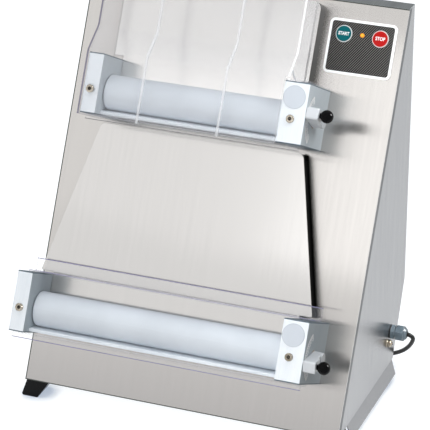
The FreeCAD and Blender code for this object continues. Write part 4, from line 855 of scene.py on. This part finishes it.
route = leadRoute + coilPoints(**leadSettings)
leadCurve = bpy.data.curves.new("mainsLead", "CURVE")
leadCurve.dimensions = "3D"
leadSpline = leadCurve.splines.new("NURBS")
leadSpline.points.add(len(route) - 1)
for point, place in zip(leadSpline.points, route):
    point.co = (*(casingPlace @ (Vector(place) * mm)), 1)
leadSpline.order_u = 3
leadSpline.use_endpoint_u = True
leadSpline.resolution_u = 6
leadCurve.bevel_depth = leadSettings["thickness"] / 2 * mm
leadCurve.bevel_resolution = 5
leadCurve.use_fill_caps = True
mainsLead = bpy.data.objects.new("mainsLead", leadCurve)
bpy.context.scene.collection.objects.link(mainsLead)
leadCurve.materials.append(finishes["cordRubber"])
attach(mainsLead, "root")
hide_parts("mains_cord", "mains_cord_coil")


# Cross-recessed screws: one is modelled, each place gets its own copy
print("screws")
screwShape = {"radius": 6.2, "height": 3.4, "sides": 40, "insets": (0.24, 0.3), "crownFall": 0.5,
              "crownCurve": 2.4, "rimRound": 0.9, "recessLength": 7.2, "recessWidth": 1.1,
              "recessDepth": 1.9, "recessTaper": (0.55, 0.6, 1)}
screwPlaces = {"upperLeft": (-188.0, 463.5, 108.3), "upperRight": (135.5, 463.5, 105.0),
               "lowerLeft": (-244.6, 115.2, 105.0), "lowerRight": (195.0, 115.2, 105.0)}
screwTurn = 37.0  # each copy is turned on by this much, as real screws never line up


def cutAway(piece, cutter):
    pick(piece)
    modifier = piece.modifiers.new("cut", "BOOLEAN")
    modifier.object = cutter
    modifier.operation = "DIFFERENCE"
    modifier.solver = "EXACT"
    bpy.ops.object.modifier_apply(modifier="cut")
    bpy.data.objects.remove(cutter)


def modelScrewHead(radius, height, sides, insets, crownFall, crownCurve, rimRound):
    unselect()
    bpy.ops.mesh.primitive_cylinder_add(vertices=sides, radius=radius * mm, depth=height * mm,
                                        location=(0, 0, height / 2 * mm))
    screw = bpy.context.object
    chooseFaces(screw, lambda face: face.normal.z > 0.9)
    for inset in insets:
        bpy.ops.mesh.inset(thickness=radius * inset * mm)
    bpy.ops.object.mode_set(mode="OBJECT")
    for point in screw.data.vertices:
        if point.co.z > height * 0.9 * mm:
            reach = point.co.xy.length / (radius * mm)
            point.co.z = height * mm * (1.0 - crownFall * reach ** crownCurve)  # falls away to the rim
    outer = radius * 0.98 * mm
    aboveFoot = 0.2 * mm
    chooseEdges(screw, lambda a, b: min(a.xy.length, b.xy.length) > outer and min(a.z, b.z) > aboveFoot)
    bpy.ops.mesh.bevel(offset=rimRound * mm, segments=4, profile=0.55)
    bpy.ops.object.mode_set(mode="OBJECT")
    return screw


def modelBlade(height, recessLength, recessWidth, recessDepth, recessTaper):
    unselect()
    bpy.ops.mesh.primitive_cube_add(size=1, location=(0, 0, height * mm))
    blade = bpy.context.object
    blade.scale = (recessLength * mm, recessWidth * mm, recessDepth * 2 * mm)
    bpy.ops.object.transform_apply(location=True, rotation=True, scale=True)
    chooseFaces(blade, lambda face: face.normal.z < -0.9)
    bpy.ops.transform.resize(value=recessTaper)
    bpy.ops.object.mode_set(mode="OBJECT")
    return blade


def modelScrew(radius, height, sides, insets, crownFall, crownCurve, rimRound,
               recessLength, recessWidth, recessDepth, recessTaper):
    screw = modelScrewHead(radius, height, sides, insets, crownFall, crownCurve, rimRound)
    blade = modelBlade(height, recessLength, recessWidth, recessDepth, recessTaper)
    bpy.ops.object.duplicate()
    crossBlade = settle(bpy.context.object, turnAbout(90))
    cutAway(screw, blade)
    cutAway(screw, crossBlade)
    smoothByAngle(screw, 40)
    screw.data.materials.append(finishes["nickel"])
    screw.data.materials.append(finishes["recessShade"])
    for face in screw.data.polygons:  # the cross and a line round the foot are dark: painted shade
        reach = face.center.xy.length / mm
        level = face.center.z / mm
        steep = abs(face.normal.z) < 0.75
        deep = level < height - recessDepth * 0.8
        inCross = reach < recessLength / 2 and (steep or deep) and level > 0.3
        atFoot = reach > radius * 0.9 and 0.1 < level < 1.0
        face.material_index = 1 if inCross or atFoot else 0
    return screw


def placeCopies(model, places, name, turnBy):
    copies = []
    for index, place in enumerate(places, start=1):
        piece = model.copy()
        piece.data = model.data.copy()
        bpy.context.scene.collection.objects.link(piece)
        copies.append(settle(piece, place @ turnAbout(turnBy * index)))
    return join(copies, name)


screwModel = modelScrew(**screwShape)
facePlaces = [facePlace @ Matrix.Translation(Vector(place) * mm) for place in screwPlaces.values()]
bracketScrews = placeCopies(screwModel, facePlaces, "bracketScrews", screwTurn)
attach(bracketScrews, "root")
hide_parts("bracket_screws")
bpy.data.objects.remove(screwModel)


# Button words
print("words and scales")
wordSettings = {
    "startWord": {"text": "START", "place": (164.5, 609.5, 3.2), "squeeze": 0.8, "body": "start_button"},
    "stopWord": {"text": "STOP", "place": (222.7, 608.5, 3.2), "squeeze": 0.86, "body": "stop_button"},
}
wordPrint = {"size": 7.4, "thickness": 0.06, "heavy": 0.14}


def flatText(text, size, thickness, heavy, squeeze=1.0):
    unselect()
    bpy.ops.object.text_add(location=(0, 0, 0))
    word = bpy.context.object
    word.data.body = text
    word.data.size = size * mm
    word.data.align_x = "CENTER"
    word.data.align_y = "CENTER"
    word.data.extrude = thickness / 2 * mm
    word.data.offset = heavy * mm
    word.data.resolution_u = 4
    bpy.ops.object.convert(target="MESH")
    return settle(bpy.context.object, Matrix.Diagonal((squeeze, 1, 1, 1)))


for name, settings in wordSettings.items():
    word = flatText(settings["text"], squeeze=settings["squeeze"], **wordPrint)
    word.name = name
    settle(word, facePlace @ Matrix.Translation(Vector(settings["place"]) * mm))
    dress(word, finishes["whiteInk"])
    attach(word, settings["body"])


# Printed scales on the outer sides of the right brackets: an arc, ticks and numbers about the lever's pivot
scaleSettings = {
    "upperScale": {"side": 158.0, "pivot": (467.5, 59.7), "highAngle": 66, "lowAngle": -66},
    "lowerScale": {"side": 217.5, "pivot": (119.2, 59.7), "highAngle": 64, "lowAngle": -68},
}
scalePrint = {"radius": 38.0, "line": 2.6, "tick": 5.4, "tickStep": 6, "numberRadius": 29.5,
              "numberSize": 7.2, "numberStep": 12, "heavy": 0.4, "lift": 0.06, "arcSteps": 24}


def flatBar(reach, length, width):
    unselect()
    bpy.ops.mesh.primitive_plane_add(size=1, location=(-reach * mm, 0, 0))
    bar = bpy.context.object
    bar.scale = (length * mm, width * mm, 1)
    bpy.ops.object.transform_apply(location=True, rotation=True, scale=True)
    return bar


def sweepArc(radius, width, start, end):
    shortEdge = 0.05
    arc = settle(flatBar(radius, width, shortEdge), turnAbout(-start))
    bpy.ops.object.mode_set(mode="EDIT")
    bpy.ops.mesh.select_all(action="SELECT")
    bpy.ops.mesh.remove_doubles(threshold=2 * shortEdge * mm)  # leaves one edge across, which is swept
    bpy.ops.mesh.spin(steps=scalePrint["arcSteps"], angle=math.radians(start - end), center=(0, 0, 0),
                      axis=(0, 0, -1))
    bpy.ops.mesh.select_all(action="SELECT")
    bpy.ops.mesh.remove_doubles(threshold=0.01 * mm)
    bpy.ops.object.mode_set(mode="OBJECT")
    return arc


def modelScale(name, side, pivot, highAngle, lowAngle):
    radius, tick, line = scalePrint["radius"], scalePrint["tick"], scalePrint["line"]
    flat = [sweepArc(radius, line, highAngle, lowAngle)]
    for angle in range(highAngle, lowAngle - 1, -scalePrint["tickStep"]):
        flat.append(settle(flatBar(radius - tick / 2, tick, line), turnAbout(-angle)))
    for number, angle in enumerate(range(highAngle, lowAngle - 1, -scalePrint["numberStep"])):
        digit = flatText(str(number), scalePrint["numberSize"], thickness=0.0, heavy=scalePrint["heavy"])
        middle = turnAbout(-angle) @ Vector((-scalePrint["numberRadius"] * mm, 0, 0))
        flat.append(settle(digit, Matrix.Translation(middle)))
    scale = join(flat, name)
    chooseFaces(scale, lambda face: face.normal.z < 0)
    bpy.ops.mesh.flip_normals()
    bpy.ops.object.mode_set(mode="OBJECT")
    place = Vector((side + scalePrint["lift"], *pivot)) * mm
    settle(scale, facePlace @ Matrix.Translation(place) @ sideTurn)
    dress(scale, finishes["whiteInk"])
    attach(scale, "root")


for name, settings in scaleSettings.items():
    modelScale(name, **settings)


# Earth terminal: toothed washer, hexagon nut, thin lock nut and threaded stud
print("earth terminal")
earthShape = {"place": (260.0, 241.7, 45.0), "washer": 7.0, "washerThick": 1.2, "toothShare": 0.9,
              "nut": 11.0, "lockTurn": 22, "stud": 3.0, "plainEnd": 7.3, "studEnd": 9.2, "pitch": 0.7,
              "threadShare": 0.86}
earthNuts = {"nut": {"start": 1.2, "thick": 4.2, "wide": 1.0},
             "lockNut": {"start": 5.7, "thick": 1.6, "wide": 0.94}}


def addCylinder(sides, radius, start, thick):
    unselect()
    bpy.ops.mesh.primitive_cylinder_add(vertices=sides, radius=radius * mm, depth=thick * mm,
                                        location=(0, 0, (start + thick / 2) * mm))
    return bpy.context.object


def modelNut(corner, start, thick, wide):
    block = addCylinder(6, corner * wide, start, thick)
    chooseFaces(block, lambda face: abs(face.normal.z) > 0.9)
    bpy.ops.mesh.bevel(offset=0.5 * mm, segments=2)
    bpy.ops.object.mode_set(mode="OBJECT")
    return block


def modelEarthTerminal(place, washer, washerThick, toothShare, nut, lockTurn, stud, plainEnd, studEnd, pitch,
                       threadShare):
    ring = addCylinder(36, washer, 0, washerThick)
    chooseFaces(ring, lambda face: abs(face.normal.z) < 0.1 and face.index % 3 == 0)
    bpy.ops.transform.resize(value=(toothShare, toothShare, 1), center_override=(0, 0, washerThick / 2 * mm))
    bpy.ops.object.mode_set(mode="OBJECT")
    nuts = [modelNut(nut / math.sqrt(3), **sizes) for sizes in earthNuts.values()]
    settle(nuts[1], turnAbout(lockTurn))
    rod = addCylinder(24, stud, 0, plainEnd)
    chooseFaces(rod, lambda face: face.normal.z > 0.9)
    for turn in range(int((studEnd - plainEnd) / (pitch / 2))):  # in to a thread's root and out to its crest
        bpy.ops.mesh.extrude_region_move(TRANSFORM_OT_translate={"value": (0, 0, pitch / 2 * mm)})
        share = 1 / threadShare if turn % 2 else threadShare
        bpy.ops.transform.resize(value=(share, share, 1))
    bpy.ops.object.mode_set(mode="OBJECT")
    terminal = join([ring, *nuts, rod], "earthTerminal")
    smoothByAngle(terminal, 30)
    return settle(terminal, casingPlace @ Matrix.Translation(Vector(place) * mm) @ sideTurn)


earthTerminal = modelEarthTerminal(**earthShape)
dress(earthTerminal, finishes["brassNickel"])
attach(earthTerminal, "root")
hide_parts("earth_terminal")


unselect()

print("finished")
